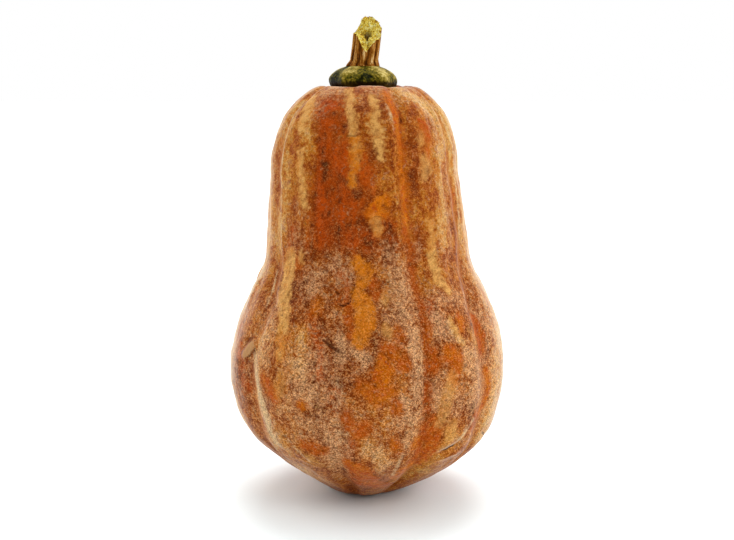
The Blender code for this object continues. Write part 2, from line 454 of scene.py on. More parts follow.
# %% The tree's end
radius = radius + relief * along_z
lift = (level - relief * along_r).math("MAXIMUM", 0.0)
(lean_x, lean_y, _), _ = sampled(size["Middle line"], "LENGTH", lift)
place = vector(tree, radius * around[0] + lean_x, lean_y - radius * around[1], lift)
shape = ball.outputs["Mesh"]
for name, value in (("level", level), ("valley", valley * fade), ("crease", crease * fade)):
    values = {"Geometry": shape, "Name": name, "Value": value}
    shape = node(tree, "GeometryNodeStoreNamedAttribute", values).outputs[0]
shape = node(tree, "GeometryNodeSetPosition", {"Geometry": shape, "Position": place}).outputs[0]
shape = node(tree, "GeometryNodeRealizeInstances", {"Geometry": shape}).outputs[0]
shape = node(tree, "GeometryNodeSetShadeSmooth", {0: shape}).outputs[0]
dressed = node(tree, "GeometryNodeSetMaterial", {"Geometry": shape, "Material": size["Rind"]})
tree.links.new(dressed.outputs[0], tree.nodes.new("NodeGroupOutput").inputs[0])
print("fruit's tree has", len(tree.nodes), "nodes")

# %% [markdown]
# ## From modifier to plain mesh
#
# A modifier's inputs are set by the socket's identifier. The evaluated object is copied
# to a plain mesh, so that the cracks and markings can be worked into its points. The mesh
# is then centred as the solid model is.


# %% Evaluate a tree to a mesh
def grown(name, tree, values, start_mesh=None):
    """The mesh that a tree makes on an object, with the tree's named inputs set."""
    start = start_mesh or bpy.data.meshes.new(name + "_base")
    base = bpy.data.objects.new(name + "_base", start)
    scene.collection.objects.link(base)
    modifier = base.modifiers.new("nodes", "NODES")
    modifier.node_group = tree
    for item in tree.interface.items_tree:
        if item.item_type == "SOCKET" and item.in_out == "INPUT" and item.name in values:
            modifier[item.identifier] = values[item.name]
    graph = bpy.context.evaluated_depsgraph_get()
    mesh = bpy.data.meshes.new_from_object(base.evaluated_get(graph), depsgraph=graph)
    mesh.name = name
    bpy.data.objects.remove(base)
    return mesh


def points_of(mesh):
    places = np.empty(len(mesh.vertices) * 3)
    mesh.vertices.foreach_get("co", places)
    return places.reshape(-1, 3)


rind = bpy.data.materials.new("mottled rind")
wood = bpy.data.materials.new("dry stem")
fruit_values = {name: value for name, (_, value) in SIZES.items()} | {"Rind": rind}
fruit_mesh = grown("squash_fruit", tree, fruit_values)
for helper in (outline_curve, middle_curve):
    bpy.data.objects.remove(helper)
points = points_of(fruit_mesh)
low, high = (np.array(corner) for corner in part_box("fruit"))
middle = (points.min(0) + points.max(0)) / 2 - (low + high) / 2
SHIFT = np.array((middle[0], middle[1], 0.0))
points -= SHIFT
print("fruit:", len(points), "points, box", points.min(0).round(5), points.max(0).round(5))
print("shift:", SHIFT.round(6), "CAD box:", low.round(5), high.round(5))

# %% [markdown]
# ## From a place in the picture to a place on the squash
#
# The markings were read from the photograph as pixel positions. The camera was fitted to
# the outline, so a ray through a pixel meets the squash at the right place. A mark on the
# sides or back is given by azimuth and height, and its ray comes from the middle line.

# %% Camera numbers and rays
CAMERA_AT = Vector((0.00012, -0.49976, 0.185))
CAMERA_PITCH = math.radians(9.67)
FOCAL_PIXELS = 1134.0
PICTURE = (734, 540)

surface = BVHTree.FromPolygons(points.tolist(), [tuple(f.vertices) for f in fruit_mesh.polygons])
ahead = Vector((0, math.cos(CAMERA_PITCH), -math.sin(CAMERA_PITCH)))
upward = Vector((0, math.sin(CAMERA_PITCH), math.cos(CAMERA_PITCH)))


def under_pixel(x, y):
    """The point of the rind behind a pixel of the picture, or the nearest one to its ray."""
    ray = ahead * FOCAL_PIXELS + upward * (PICTURE[1] / 2 - y)
    ray = (ray + Vector((x - PICTURE[0] / 2, 0, 0))).normalized()
    hit = surface.ray_cast(CAMERA_AT, ray)[0]
    if hit is None:
        hit = surface.find_nearest(CAMERA_AT + ray * (-CAMERA_AT).dot(ray))[0]
    return hit


def on_side(azimuth, height):
    """The point of the rind at an azimuth in degrees and a height in metres."""
    turn = math.radians(azimuth)
    start = Vector((0, 0, height))
    hit = surface.ray_cast(start, Vector((math.sin(turn), -math.cos(turn), 0)))[0]
    return hit or surface.find_nearest(start)[0]


print("pixel (387, 200) lies at", [round(v, 4) for v in under_pixel(387, 200)])

# %% [markdown]
# ## Where the colours lie
#
# A ripening squash loses its green in streaks: ochre first, along the ribs, then orange
# and red-brown. The streaks are too particular for a noise texture, so each is a path
# with a half width, like the stroke of a brush. Crisp marks keep their signed distance,
# for a ragged edge in the material; soft stains only fade out.

# %% Crisp marks: half width in mm, strength, tone, path in picture pixels
OCHRE = (
    (2.4, 1.0, 0.15, ((312, 98), (307, 108), (304, 117), (301, 130))),
    (1.9, 0.9, 0.25, ((301, 150), (301, 177), (302, 189), (304, 206))),
    (1.9, 1.0, 0.10, ((349, 90), (350, 103), (352, 117), (354, 133))),
    (2.2, 1.0, 0.60, ((356, 140), (356, 152), (355, 165))),
    (1.5, 0.9, 0.70, ((353, 171), (353, 186))),
    (2.0, 1.0, 0.10, ((373, 98), (377, 112), (374, 124), (378, 137), (380, 149), (380, 157))),
    (1.6, 0.7, 0.35, ((430, 222), (433, 235), (432, 250))),
    (2.3, 1.0, 0.10, ((432, 252), (434, 266), (439, 279), (448, 291))),
    (3.6, 1.0, 0.15, ((291, 255), (289, 270), (286, 285), (283, 299), (284, 312), (283, 330))),
    (1.6, 0.6, 0.10, ((300, 252), (302, 262))),
    (2.4, 0.8, 0.55, ((282, 330), (280, 345), (279, 360))),
    (2.8, 1.0, 0.80, ((359, 262), (366, 271), (362, 282))),
    (3.8, 1.0, 0.80, ((357, 294), (364, 308), (365, 326), (359, 342))),
    (1.5, 0.6, 0.20, ((385, 295), (386, 304))),
    (1.8, 0.7, 0.20, ((385, 326), (388, 336))),
    (1.8, 0.5, 0.15, ((421, 133), (421, 143))),
    (2.4, 0.6, 0.15, ((424, 158), (427, 170), (424, 178))),
    (2.2, 0.7, 0.35, ((375, 219), (378, 232))),
    (3.0, 0.6, 0.45, ((281, 376), (279, 394))),
    (2.8, 0.6, 0.25, ((452, 376), (446, 404), (440, 424))),
    (3.0, 0.7, 0.30, ((452, 424), (449, 440))),
    (1.6, 0.8, 0.10, ((457, 122), (461, 145))),
    (1.6, 0.8, 0.15, ((450, 320), (456, 334), (463, 343))),
    (2.2, 0.5, 0.25, ((306, 455), (322, 466))),
    (2.5, 0.5, 0.30, ((470, 330), (476, 345))),
)
ORANGE = (
    (1.9, 0.9, 0.50, ((386, 93), (390, 103), (395, 114), (398, 128), (400, 142), (401, 158))),
    (1.8, 0.85, 0.50, ((401, 158), (402, 170), (405, 190), (405, 209), (406, 225))),
    (3.0, 0.9, 0.85, ((432, 354), (433, 362), (432, 370))),
    (3.0, 0.9, 0.70, ((456, 348), (457, 362), (453, 380))),
    (4.6, 1.0, 0.85, ((432, 420), (430, 440), (420, 460))),
    (3.4, 0.8, 0.60, ((362, 388), (376, 396), (392, 392))),
    (1.5, 0.8, 0.95, ((406, 225), (407, 240), (412, 254), (412, 272), (416, 290), (420, 306))),
    (1.2, 0.8, 1.00, ((421, 308), (425, 325), (427, 345), (429, 362), (428, 374))),
    (1.6, 0.8, 0.90, ((427, 384), (427, 404), (428, 420), (426, 436), (419, 450), (410, 462))),
    (2.8, 1.0, 0.90, ((422, 124), (425, 131), (427, 139))),
    (1.4, 0.8, 0.70, ((429, 143), (428, 157))),
    (3.6, 1.0, 0.35, ((383, 201), (379, 209), (373, 214))),
    (2.2, 0.8, 0.95, ((349, 303), (350, 320), (350, 336))),
    (2.2, 0.9, 0.95, ((374, 283), (377, 296))),
    (3.8, 0.9, 0.45, ((383, 362), (384, 374), (382, 384))),
    (3.0, 0.8, 0.70, ((387, 348), (398, 356), (407, 366))),
    (3.4, 0.9, 0.50, ((449, 350), (454, 358))),
    (2.2, 0.8, 0.45, ((460, 318), (461, 328))),
    (3.6, 1.0, 0.80, ((473, 320), (479, 335), (482, 347))),
    (3.0, 0.9, 0.70, ((264, 380), (270, 391), (276, 398))),
    (2.0, 0.9, 0.50, ((301, 403), (302, 408))),
    (2.2, 0.9, 0.90, ((346, 412), (348, 428))),
    (2.4, 0.9, 0.85, ((367, 424), (361, 432), (356, 437))),
    (3.0, 0.8, 0.80, ((303, 445), (313, 449), (323, 450))),
    (4.2, 1.0, 0.65, ((350, 464), (362, 472), (370, 482), (384, 486))),
    (1.9, 0.9, 0.55, ((485, 369), (488, 380), (487, 393), (482, 406), (476, 416))),
    (1.7, 0.7, 0.60, ((452, 192), (453, 208))),
    (1.6, 0.8, 0.90, ((475, 415), (471, 428))),
    (2.6, 0.9, 0.45, ((414, 462), (404, 470), (392, 478))),
    (2.4, 0.8, 0.80, ((395, 404), (399, 412))),
    (2.6, 0.8, 0.50, ((414, 446), (420, 438))),
    (1.8, 0.7, 0.80, ((296, 262), (300, 270))),
    (2.4, 0.6, 0.50, ((318, 300), (315, 312))),
    (2.4, 0.6, 0.60, ((397, 330), (399, 340))),
    (1.8, 0.8, 0.60, ((393, 442), (400, 452))),
)
print(len(OCHRE), "ochre and", len(ORANGE), "orange marks on the front")

# %% [markdown]
# ## Stains without an edge
#
# Under the crisp marks the rind is stained red where the sun ripened it, darker in the
# hollows and along the grooves' shaded sides, as brown stain and painted shade, and tan on the
# worn ribs, with pale ridge lines, partly painted highlight, and patches of wax on top. These
# have no edge, so each is a path whose strength only falls off with distance. A noise
# alone would spread them evenly, and the real fruit is anything but even.

# %% Soft stains: half width in mm, strength, path in picture pixels
RED = (
    (6.0, 0.9, ((330, 104), (330, 128), (329, 160), (326, 195), (324, 235))),
    (3.0, 1.0, ((331, 122), (331, 134))),
    (7.0, 0.8, ((343, 150), (345, 190), (346, 240))),
    (6.0, 0.7, ((366, 165), (366, 200), (368, 240))),
    (4.0, 0.6, ((389, 225), (391, 243))),
    (4.0, 0.6, ((242, 326), (240, 360), (246, 385))),
    (4.5, 0.7, ((314, 322), (318, 350), (318, 375))),
    (3.5, 0.6, ((333, 385), (337, 410))),
    (4.0, 0.7, ((350, 444), (352, 470), (358, 484))),
    (4.0, 0.5, ((292, 230), (288, 250))),
    (3.0, 0.5, ((256, 290), (246, 318))),
    (4.0, 0.6, ((342, 272), (346, 296))),
    (4.0, 0.6, ((432, 305), (441, 330))),
)
# Dark paint on the grooves' shaded sides and beside lit ridges: painted shade as well as brown
# stain
DARK = (
    (2.6, 0.8, ((411, 112), (413, 150), (414, 190))),
    (2.4, 0.8, ((418, 226), (421, 244))),
    (4.0, 0.7, ((362, 222), (366, 248))),
    (3.0, 0.9, ((386, 225), (392, 243))),
    (3.5, 0.8, ((307, 250), (322, 252))),
    (1.4, 0.8, ((398, 112), (401, 122))),
    (2.4, 0.9, ((427, 384), (426, 402))),
    (2.8, 1.0, ((429, 412), (429, 424))),
    (2.6, 0.7, ((428, 304), (434, 318), (441, 330))),
    (1.6, 0.9, ((474, 406), (471, 416))),
    (3.0, 0.7, ((312, 403), (322, 415))),
    (2.6, 0.6, ((399, 443), (400, 454))),
    (2.0, 0.7, ((352, 276), (353, 286))),
    (1.6, 0.6, ((345, 104), (344, 132))),
    (4.0, 0.5, ((330, 200), (330, 240))),
    (3.0, 0.5, ((340, 345), (343, 380))),
    (5.0, 0.6, ((240, 318), (236, 345), (238, 378), (248, 402))),
    (4.0, 0.6, ((252, 372), (262, 386), (268, 402))),
    (2.0, 0.8, ((244, 350), (247, 345), (252, 340))),
    (2.2, 0.8, ((322, 112), (323, 150), (320, 196), (322, 240))),
    (2.0, 0.7, ((338, 170), (340, 205), (338, 244))),
    (2.6, 0.6, ((350, 176), (356, 214), (352, 244))),
)
TAN = (
    (5.0, 0.8, ((441, 108), (447, 140), (450, 172))),
    (5.0, 0.6, ((436, 110), (440, 160), (445, 240))),
    (4.0, 0.8, ((398, 90), (415, 98), (432, 112))),
    (6.0, 0.7, ((296, 104), (287, 135), (283, 190), (280, 240))),
    (4.0, 0.6, ((270, 130), (268, 200), (264, 250))),
    (3.0, 0.5, ((306, 110), (310, 150))),
    (7.0, 0.9, ((493, 310), (498, 350), (494, 400), (482, 432))),
    (4.0, 0.6, ((462, 240), (474, 275), (486, 300))),
    (6.0, 0.5, ((262, 340), (256, 380), (262, 420), (285, 450))),
    (4.0, 0.6, ((302, 330), (300, 370))),
    (6.0, 0.6, ((452, 440), (436, 456), (410, 474))),
    (5.0, 0.6, ((372, 448), (380, 464))),
    (6.0, 0.6, ((300, 468), (330, 484))),
)
# Pale ridge lines: worn ridges, and a painted highlight on lit ridge crests and groove flanks
PALE = (
    (0.9, 0.9, ((314, 95), (299, 109), (292, 119), (288, 132), (284, 147), (282, 163), (281, 182))),
    (0.8, 0.7, ((281, 182), (281, 215), (282, 248), (277, 272), (272, 292), (266, 309))),
    (3.4, 1.0, ((256, 357), (256, 374), (259, 393), (266, 415), (270, 429), (277, 443))),
    (1.0, 0.7, ((286, 436), (298, 451), (309, 461))),
    (4.0, 0.4, ((337, 384), (340, 410), (342, 436))),
    (
        1.4,
        0.7,
        ((441, 117), (447, 131), (452, 145), (454, 163), (456, 186), (458, 205), (459, 239)),
    ),
    (3.0, 0.4, ((414, 330), (418, 350), (420, 372), (417, 388))),
    (1.2, 0.9, ((473, 419), (467, 430), (459, 440))),
    (1.2, 0.7, ((402, 455), (398, 466), (392, 475))),
    (1.8, 0.5, ((446, 320), (452, 334), (462, 343))),
    (1.5, 0.6, ((268, 320), (262, 345))),
    (1.0, 0.6, ((386, 104), (391, 116), (394, 130))),
    (0.9, 0.6, ((262, 170), (262, 230), (256, 262))),
)
WAX = (
    (5.0, 0.9, ((338, 262), (344, 272))),
    (6.0, 0.9, ((314, 276), (310, 290))),
    (4.0, 1.0, ((356, 352), (366, 360))),
    (3.5, 0.9, ((341, 340), (341, 358))),
    (6.0, 1.0, ((390, 254), (396, 276), (404, 300), (404, 320))),
    (4.0, 1.0, ((412, 330), (414, 352), (417, 376), (416, 396))),
    (4.0, 0.9, ((436, 316), (444, 332), (456, 342))),
    (3.0, 0.7, ((417, 246), (416, 256))),
    (5.0, 0.7, ((440, 298), (461, 300))),
    (5.0, 1.0, ((404, 404), (412, 420))),
    (6.0, 0.9, ((374, 452), (384, 468))),
    (9.0, 0.8, ((330, 438), (336, 462), (345, 474))),
    (4.0, 0.8, ((412, 434), (404, 450))),
    (9.0, 0.9, ((304, 362), (304, 392))),
    (7.0, 1.0, ((470, 356), (478, 378), (474, 400))),
    (7.0, 0.9, ((444, 398), (456, 404))),
    (6.0, 0.8, ((414, 400), (404, 422))),
    (2.5, 0.6, ((386, 104), (389, 120))),
    (4.0, 0.6, ((296, 206), (300, 214))),
    (2.5, 0.5, ((364, 93), (365, 100))),
    (9.0, 0.6, ((290, 410), (312, 430))),
    (8.0, 0.6, ((394, 290), (394, 340))),
    (7.0, 0.6, ((448, 380), (440, 410))),
    (6.0, 0.7, ((278, 300), (268, 330), (262, 360))),
    (6.0, 0.5, ((470, 270), (484, 300))),
    (6.0, 0.7, ((300, 110), (320, 106))),
    (7.0, 0.8, ((420, 104), (436, 130), (446, 180))),
    (7.0, 0.7, ((442, 185), (446, 215), (442, 245))),
    (8.0, 0.6, ((276, 200), (286, 222), (298, 240))),
    (4.0, 0.6, ((360, 98), (368, 112))),
    (9.0, 0.7, ((292, 104), (280, 130), (274, 180), (272, 240))),
    (7.0, 0.8, ((310, 96), (340, 92))),
    (8.0, 0.8, ((380, 92), (410, 96), (434, 112))),
    # The last two lie along the bulb's outline: wax, and a painted rim highlight there
    (8.0, 0.7, ((482, 320), (494, 360), (490, 405))),
    (6.0, 0.6, ((230, 340), (228, 380), (240, 415))),
)
print(len(RED) + len(DARK) + len(TAN) + len(PALE) + len(WAX), "soft stains on the front")

# %% [markdown]
# ## The sides and back
#
# The picture shows only the front. A squash carries the same kinds of marks all round,
# so a seeded random choice lays streaks along the other ribs, with the lengths, widths
# and tones of the front ones. Each path drifts a little as it runs down its rib.

# %% Streaks by chance
# Azimuths of the rind that the picture doesn't show, and the seed of all that lies there
HIDDEN_SIDES = (72, 288)
MARK_SEED = 11
STREAK_POINTS = 5
chance = np.random.default_rng(MARK_SEED)


def streaks(count, low, high, long, wide, strength, tones=None):
    """Seeded vertical streaks between two heights, as marks whose paths are on the rind."""
    marks = []
    for _ in range(count):
        at = chance.uniform(*HIDDEN_SIDES)
        top = chance.uniform(low, high)
        length = chance.uniform(*long)
        bend = chance.uniform(-4, 4)
        shares = np.linspace(0, 1, STREAK_POINTS)
        path = [on_side(at + bend * s * s, max(top - length * s, 0.004)) for s in shares]
        mark = (chance.uniform(*wide), chance.uniform(*strength))
        marks.append((*mark, chance.uniform(*tones), path) if tones else (*mark, path))
    return marks


print("seeded streaks between", HIDDEN_SIDES[0], "and", HIDDEN_SIDES[1], "degrees")

# %% [markdown]
# ## Marks all round
#
# The front's marks and the seeded ones come together in one list for each kind. Along both
# edges of the fruit the rind is worn, pale and frosted with wax, and the strips laid there are
# also a painted rim highlight where the light grazes it. A pixel there covers much of the
# rind, so long strips are laid by azimuth and height instead.


# %% All marks on the rind
def front(marks):
    """The listed marks with their pixel paths laid on the rind."""
    return [(*mark[:-1], [under_pixel(*p) for p in mark[-1]]) for mark in marks]


def painted_rim_strip(half_width, strength, at, low, high, count):
    """A soft stain up one side of the fruit, from one height to another: a painted rim highlight.
    """
    return half_width, strength, [on_side(at, z) for z in np.linspace(low, high, count)]


ochre_marks = front(OCHRE)
ochre_marks += streaks(16, 0.10, 0.175, (0.014, 0.04), (1.2, 2.4), (0.7, 1.0), (0.05, 0.5))
ochre_marks += streaks(16, 0.03, 0.10, (0.01, 0.03), (1.6, 3.2), (0.6, 1.0), (0.1, 0.6))
orange_marks = front(ORANGE)
orange_marks += streaks(14, 0.10, 0.172, (0.01, 0.05), (1.2, 2.6), (0.7, 1.0), (0.3, 1.0))
orange_marks += streaks(34, 0.015, 0.10, (0.006, 0.03), (1.6, 3.4), (0.7, 1.0), (0.4, 1.0))
stain_marks = {
    "red": front(RED) + streaks(20, 0.03, 0.17, (0.03, 0.07), (4.0, 7.0), (0.5, 0.9)),
    "dark": front(DARK) + streaks(22, 0.02, 0.17, (0.008, 0.03), (1.5, 4.0), (0.5, 0.9)),
    "tan": front(TAN) + streaks(14, 0.03, 0.17, (0.03, 0.07), (4.0, 7.0), (0.4, 0.8)),
    "pale": front(PALE) + streaks(16, 0.03, 0.17, (0.02, 0.06), (1.6, 4.0), (0.3, 0.55)),
    "wax": front(WAX) + streaks(30, 0.01, 0.12, (0.004, 0.03), (4.0, 8.0), (0.5, 0.9)),
}
# Painted rim highlight, with some wear and wax: tan, pale and waxy strips down both edges
stain_marks["tan"] += [painted_rim_strip(10.0, 0.9, at, 0.02, 0.165, 8) for at in (-84, 84)]
stain_marks["pale"] += [painted_rim_strip(9.0, 0.62, 78, 0.025, 0.1, 6), painted_rim_strip(7.5, 0.75, -80, 0.03, 0.1, 6)]
stain_marks["wax"] += [painted_rim_strip(9.0, 0.9, at, 0.03, 0.12, 6) for at in (-82, 80)]
print(len(ochre_marks), "ochre,", len(orange_marks), "orange marks all round")
print("stains:", {name: len(marks) for name, marks in stain_marks.items()})

# %% [markdown]
# ## Scars, dents and cracks
#
# The fruit has a healed scar low on its left side, some dents, and short cracks. The
# scar and dents are wide enough to move the mesh's points along their normals; a crack
# is thinner than a face, so its path becomes another crisp mark for the material.

# %% Where the skin is hurt
# Half width in mm, height in mm (minus for a dent), path in picture pixels
SCARS = (
    (2.6, 1.5, ((246.5, 354), (250, 349.5), (254.5, 344))),
    (1.5, -0.9, ((244, 345), (249, 339), (256, 336))),
    (1.5, -0.7, ((257, 351), (262, 344))),
    (2.2, -0.8, ((275, 300), (276, 308))),
    (1.8, -0.6, ((292, 296), (297, 298))),
    (1.8, -0.7, ((283, 326), (281, 334))),
    (2.5, -1.4, ((444, 453), (457, 446))),
    (2.0, 0.6, ((440, 458), (455, 453))),
    (2.5, -0.6, ((330, 345), (342, 352))),
    (1.6, -0.6, ((351, 383), (352, 386))),
    (1.6, -0.6, ((483, 432), (484, 436))),
    (3.0, -0.7, ((408, 420), (400, 442))),
    (4.0, 0.6, ((372, 395), (378, 430))),
    (4.0, 0.5, ((300, 350), (296, 380))),
    (3.0, -0.6, ((349, 300), (350, 336))),
    (3.0, -0.5, ((384, 290), (388, 315))),
    (3.0, 0.5, ((398, 300), (400, 335))),
    (3.0, -0.6, ((478, 330), (484, 352))),
    (3.0, 0.5, ((470, 372), (472, 396))),
    (2.5, -0.5, ((322, 255), (344, 262))),
    (3.0, -0.5, ((420, 240), (431, 262))),
)
# Corky skin over healed wounds: half width in mm, strength, tone, path in picture pixels
HEALED = ((2.2, 1.0, 1.0, ((246.5, 354), (250, 349.5), (254.5, 344))),)
# Half width in mm, strength, tone, path in picture pixels
CRACKS = (
    (0.50, 1.0, 1.0, ((339, 306), (344, 305.5), (350, 301))),
    (0.60, 0.85, 1.0, ((323, 340), (328, 344), (334, 349), (341, 353))),
    (0.45, 0.9, 1.0, ((247, 359), (252, 354.5), (257, 347))),
    (0.90, 1.0, 1.0, ((445, 452), (450, 449), (455, 447))),
    (0.35, 0.5, 1.0, ((347, 136), (352, 135.5), (358, 136.5))),
    (0.40, 0.9, 1.0, ((244, 344), (248, 339), (255, 337))),
    (0.60, 0.9, 1.0, ((336, 292), (339, 294))),
    (0.40, 0.8, 1.0, ((291, 297), (297, 297.5))),
    (0.35, 0.8, 1.0, ((273, 305), (276, 309))),
    (0.35, 0.5, 1.0, ((374, 217), (379, 216), (384, 219))),
    (0.35, 0.7, 1.0, ((293, 320), (297, 318))),
    (0.35, 0.8, 1.0, ((399, 116), (401, 122))),
    (0.40, 0.8, 1.0, ((350, 383), (352, 387))),
    (0.50, 0.8, 1.0, ((483, 432), (484, 435))),
    (0.45, 0.8, 1.0, ((474, 405), (469, 413))),
)
SEEDED_DENTS = 26
SEEDED_CRACKS = 14
hurt = front(SCARS)
for _ in range(SEEDED_DENTS):
    at, level_at = chance.uniform(*HIDDEN_SIDES), chance.uniform(0.02, 0.15)
    drift, rise = chance.uniform(-6, 6), chance.uniform(0.002, 0.012)
    ends = [on_side(at, level_at), on_side(at + drift, level_at + rise)]
    hurt.append((chance.uniform(2.0, 4.0), chance.uniform(-0.8, 0.5), ends))
cracks = front(CRACKS)
for _ in range(SEEDED_CRACKS):
    at, level_at = chance.uniform(*HIDDEN_SIDES), chance.uniform(0.02, 0.16)
    ends = [on_side(at + s, level_at + chance.uniform(-0.001, 0.001)) for s in (0, 3, 6)]
    cracks.append((chance.uniform(0.3, 0.5), 0.9, 1.0, ends))
print(len(hurt), "scars and dents,", len(cracks), "cracks")

# %% [markdown]
# ## How far from a mark
#
# A mark is a path of straight pieces, and its distance from a point of the rind is the
# distance to the nearest piece. Only the points in a box round the mark are measured, so
# hundreds of marks take a moment.


# %% Distances from a path
MM = 0.001
FAR_AWAY = 9.0


def path_distance(places, path):
    """How far each place is from a path, and how far along it (0 to 1) its nearest point lies."""
    path = np.array([tuple(p) for p in path])
    best = np.full(len(places), FAR_AWAY)
    along = np.zeros(len(places))
    for k, (a, b) in enumerate(zip(path, path[1:])):
        edge = b - a
        t = np.clip((places - a) @ edge / max(edge @ edge, 1e-12), 0, 1)
        d = np.linalg.norm(places - a - t[:, None] * edge, axis=1)
        nearer = d < best
        best[nearer] = d[nearer]
        along[nearer] = (k + t[nearer]) / (len(path) - 1)
    return best, along


def near(places, path, reach):
    """The indices of the places in a path's bounding box, widened by the reach."""
    spots = np.array([tuple(p) for p in path])
    inside = (places > spots.min(0) - reach) & (places < spots.max(0) + reach)
    return np.flatnonzero(inside.all(1))


print("points near the first crack:", len(near(points, cracks[0][-1], MM)))

# %% [markdown]
# ## Marks become layers
#
# At each point of the rind one crisp mark counts, the one that it lies deepest in. Kept are
# how far inside the edge the point is, in mm, and that mark's strength and tone. A crisp
# mark narrows towards its ends, as the real ones do. A soft stain is a bell across its
# path, and where stains meet the stronger one holds.


# %% Crisp and soft layers
# Crisp marks are measured up to this many mm outside their edge
MARGIN = 6.0
# A bell has faded out at this many half widths
FADED_AT = 2.5
# A mark's width at its ends, and what its middle has more, in shares of the half width
END_SHARE, MIDDLE_SHARE = 0.75, 0.35


def crisp_layer(marks):
    """(mm inside the edge, strength, tone) at each point."""
    layer = np.tile((-MARGIN, 0.0, 0.0), (len(points), 1))
    for half_width, strength, tone, path in marks:
        some = near(points, path, MM * (half_width + MARGIN))
        d, along = path_distance(points[some], path)
        inside = half_width * (END_SHARE + MIDDLE_SHARE * np.sin(np.pi * along)) - d / MM
        better = inside > layer[some, 0]
        values = np.column_stack([inside, np.full(len(some), strength), np.full(len(some), tone)])
        layer[some[better]] = values[better]
    return layer


def bell_of(places, half_width, path):
    """The places near a path, and there 1 on the path falling off as a bell beside it."""
    some = near(places, path, MM * FADED_AT * half_width)
    d, _ = path_distance(places[some], path)
    return some, np.exp(-((d / (MM * half_width)) ** 2))


def soft_layer(marks):
    """The strength of the strongest soft stain at each point."""
    layer = np.zeros(len(points))
    for half_width, strength, path in marks:
        some, bell = bell_of(points, half_width, path)
        layer[some] = np.maximum(layer[some], strength * bell)
    return layer


soft = {name: soft_layer(marks) for name, marks in stain_marks.items()}
print("soft layers:", {name: round(float(layer.mean()), 3) for name, layer in soft.items()})

# %% [markdown]
# ## Attributes, and dents in the mesh
#
# Each layer becomes an attribute of the mesh, which the material reads as a vector. The
# scars and dents then move the points along their normals. They could be sculpted, but a
# bell across a path can be given in millimetres, like the marks.


# %% Paint the attributes and carve the dents
def keep_vector(mesh, name, values):
    mesh.attributes.new(name, "FLOAT_VECTOR", "POINT").data.foreach_set("vector", values.ravel())


def carved(mesh, places, marks):
    """The places moved along their normals by each scar or dent."""
    normals = np.empty(len(places) * 3)
    mesh.vertices.foreach_set("co", places.ravel())
    mesh.update()
    mesh.vertices.foreach_get("normal", normals)
    normals = normals.reshape(-1, 3)
    moved = places.copy()
    for half_width, height, path in marks:
        some, bell = bell_of(places, half_width, path)
        moved[some] += normals[some] * (MM * height * bell)[:, None]
    moved[:, 2] = np.maximum(moved[:, 2], 0)
    return moved


crisp_marks = {"crack": cracks, "scar": front(HEALED), "ochre": ochre_marks, "orange": orange_marks}
for name, marks in crisp_marks.items():
    keep_vector(fruit_mesh, name, crisp_layer(marks))
nothing = np.zeros(len(points))
keep_vector(fruit_mesh, "stain", np.column_stack([soft["red"], soft["dark"], soft["tan"]]))
keep_vector(fruit_mesh, "bloom", np.column_stack([soft["pale"], soft["wax"], nothing]))
points = carved(fruit_mesh, points, hurt)
print("attributes:", [each.name for each in fruit_mesh.attributes])

# %% [markdown]
# ## The rind's colours
#
# Colours are named after paints and given as screen values from 0 to 255, which a small
# function turns into the linear numbers that a shader works in.


# %% Colours
# The studio is bright, so every paint is mixed this much darker than it looks in the picture
DEPTH = 0.74


def shade(red, green, blue):
    """A linear colour from screen values, darkened for the bright studio."""
    screen = [v / 255 for v in (red, green, blue)]
    linear = [v / 12.92 if v <= 0.04045 else ((v + 0.055) / 1.055) ** 2.4 for v in screen]
    return (*(DEPTH * v for v in linear), 1.0)


SKIN_TONES = (
    (0.00, shade(74, 30, 6)),
    (0.22, shade(120, 46, 2)),
    (0.42, shade(154, 70, 6)),
    (0.60, shade(188, 113, 32)),
    (0.78, shade(208, 156, 82)),
    (1.00, shade(220, 182, 118)),
)
DEEP_RED = shade(192, 72, 0)
RUST_AND_CREASE_SHADE = shade(142, 54, 0)
DARK_BROWN = shade(70, 26, 2)
# What a pale grain of wax, also a painted glint, adds to red, green and blue
GRAIN_AND_GLINT_TINT = (1.0, 0.52, 0.18)
CORK = shade(192, 146, 98)
YELLOW_OCHRE = shade(222, 164, 88)
BURNT_OCHRE = shade(214, 118, 14)
ORANGE_SKIN = shade(230, 124, 8)
RED_ORANGE = shade(180, 74, 0)
WAX_GREY = shade(208, 158, 114)
# Paint for worn ridges and for the painted highlights on them
WHITE_RIDGE_AND_HIGHLIGHT = shade(218, 188, 142)
print("skin tones:", len(SKIN_TONES))

# %% [markdown]
# ## The rind's material
#
# From the inside out: a brown skin that varies slowly and in lengthwise streaks; red stains,
# and dark ones that are partly painted shade; crisp ochre and orange marks, whose edges a noise
# makes ragged; a wax bloom that breaks up into fine specks; and pin-prick pores. The bloom is
# rough, the bare marks are smoother, so light tells them apart as well as colour does.

# %% Rind: fields
rind.use_nodes = True
skin = rind.node_tree
shader = skin.nodes["Principled BSDF"]
place = node(skin, "ShaderNodeTexCoord").outputs["Object"]


def drawn_out(tree, where, share):
    """A place squeezed along the height, so that noise in it is drawn out to streaks."""
    values = {0: where, 1: (1, 1, share)}
    return node(tree, "ShaderNodeVectorMath", values, operation="MULTIPLY").outputs[0]


def grain(size, detail, where=None):
    """Noise about 0, with grains of about that size in metres."""
    return noise_field(skin, where or place, 1 / size, detail)


def cells(size, seed):
    """A random number from -0.5 to 0.5 for each grain of about that size in metres."""
    moved = node(skin, "ShaderNodeVectorMath", {0: place, 1: (seed, seed, seed)}).outputs[0]
    made = node(skin, "ShaderNodeTexVoronoi", {"Vector": moved, "Scale": 1 / size})
    return parts(skin, made.outputs["Color"])[0] - 0.5


def number_at(tree, name):
    """An attribute that holds one number, as a field."""
    return Field(tree, node(tree, "ShaderNodeAttribute", attribute_name=name).outputs["Fac"])


def read(name):
    """The three numbers of a vector attribute, as fields."""
    return parts(skin, node(skin, "ShaderNodeAttribute", attribute_name=name).outputs["Vector"])


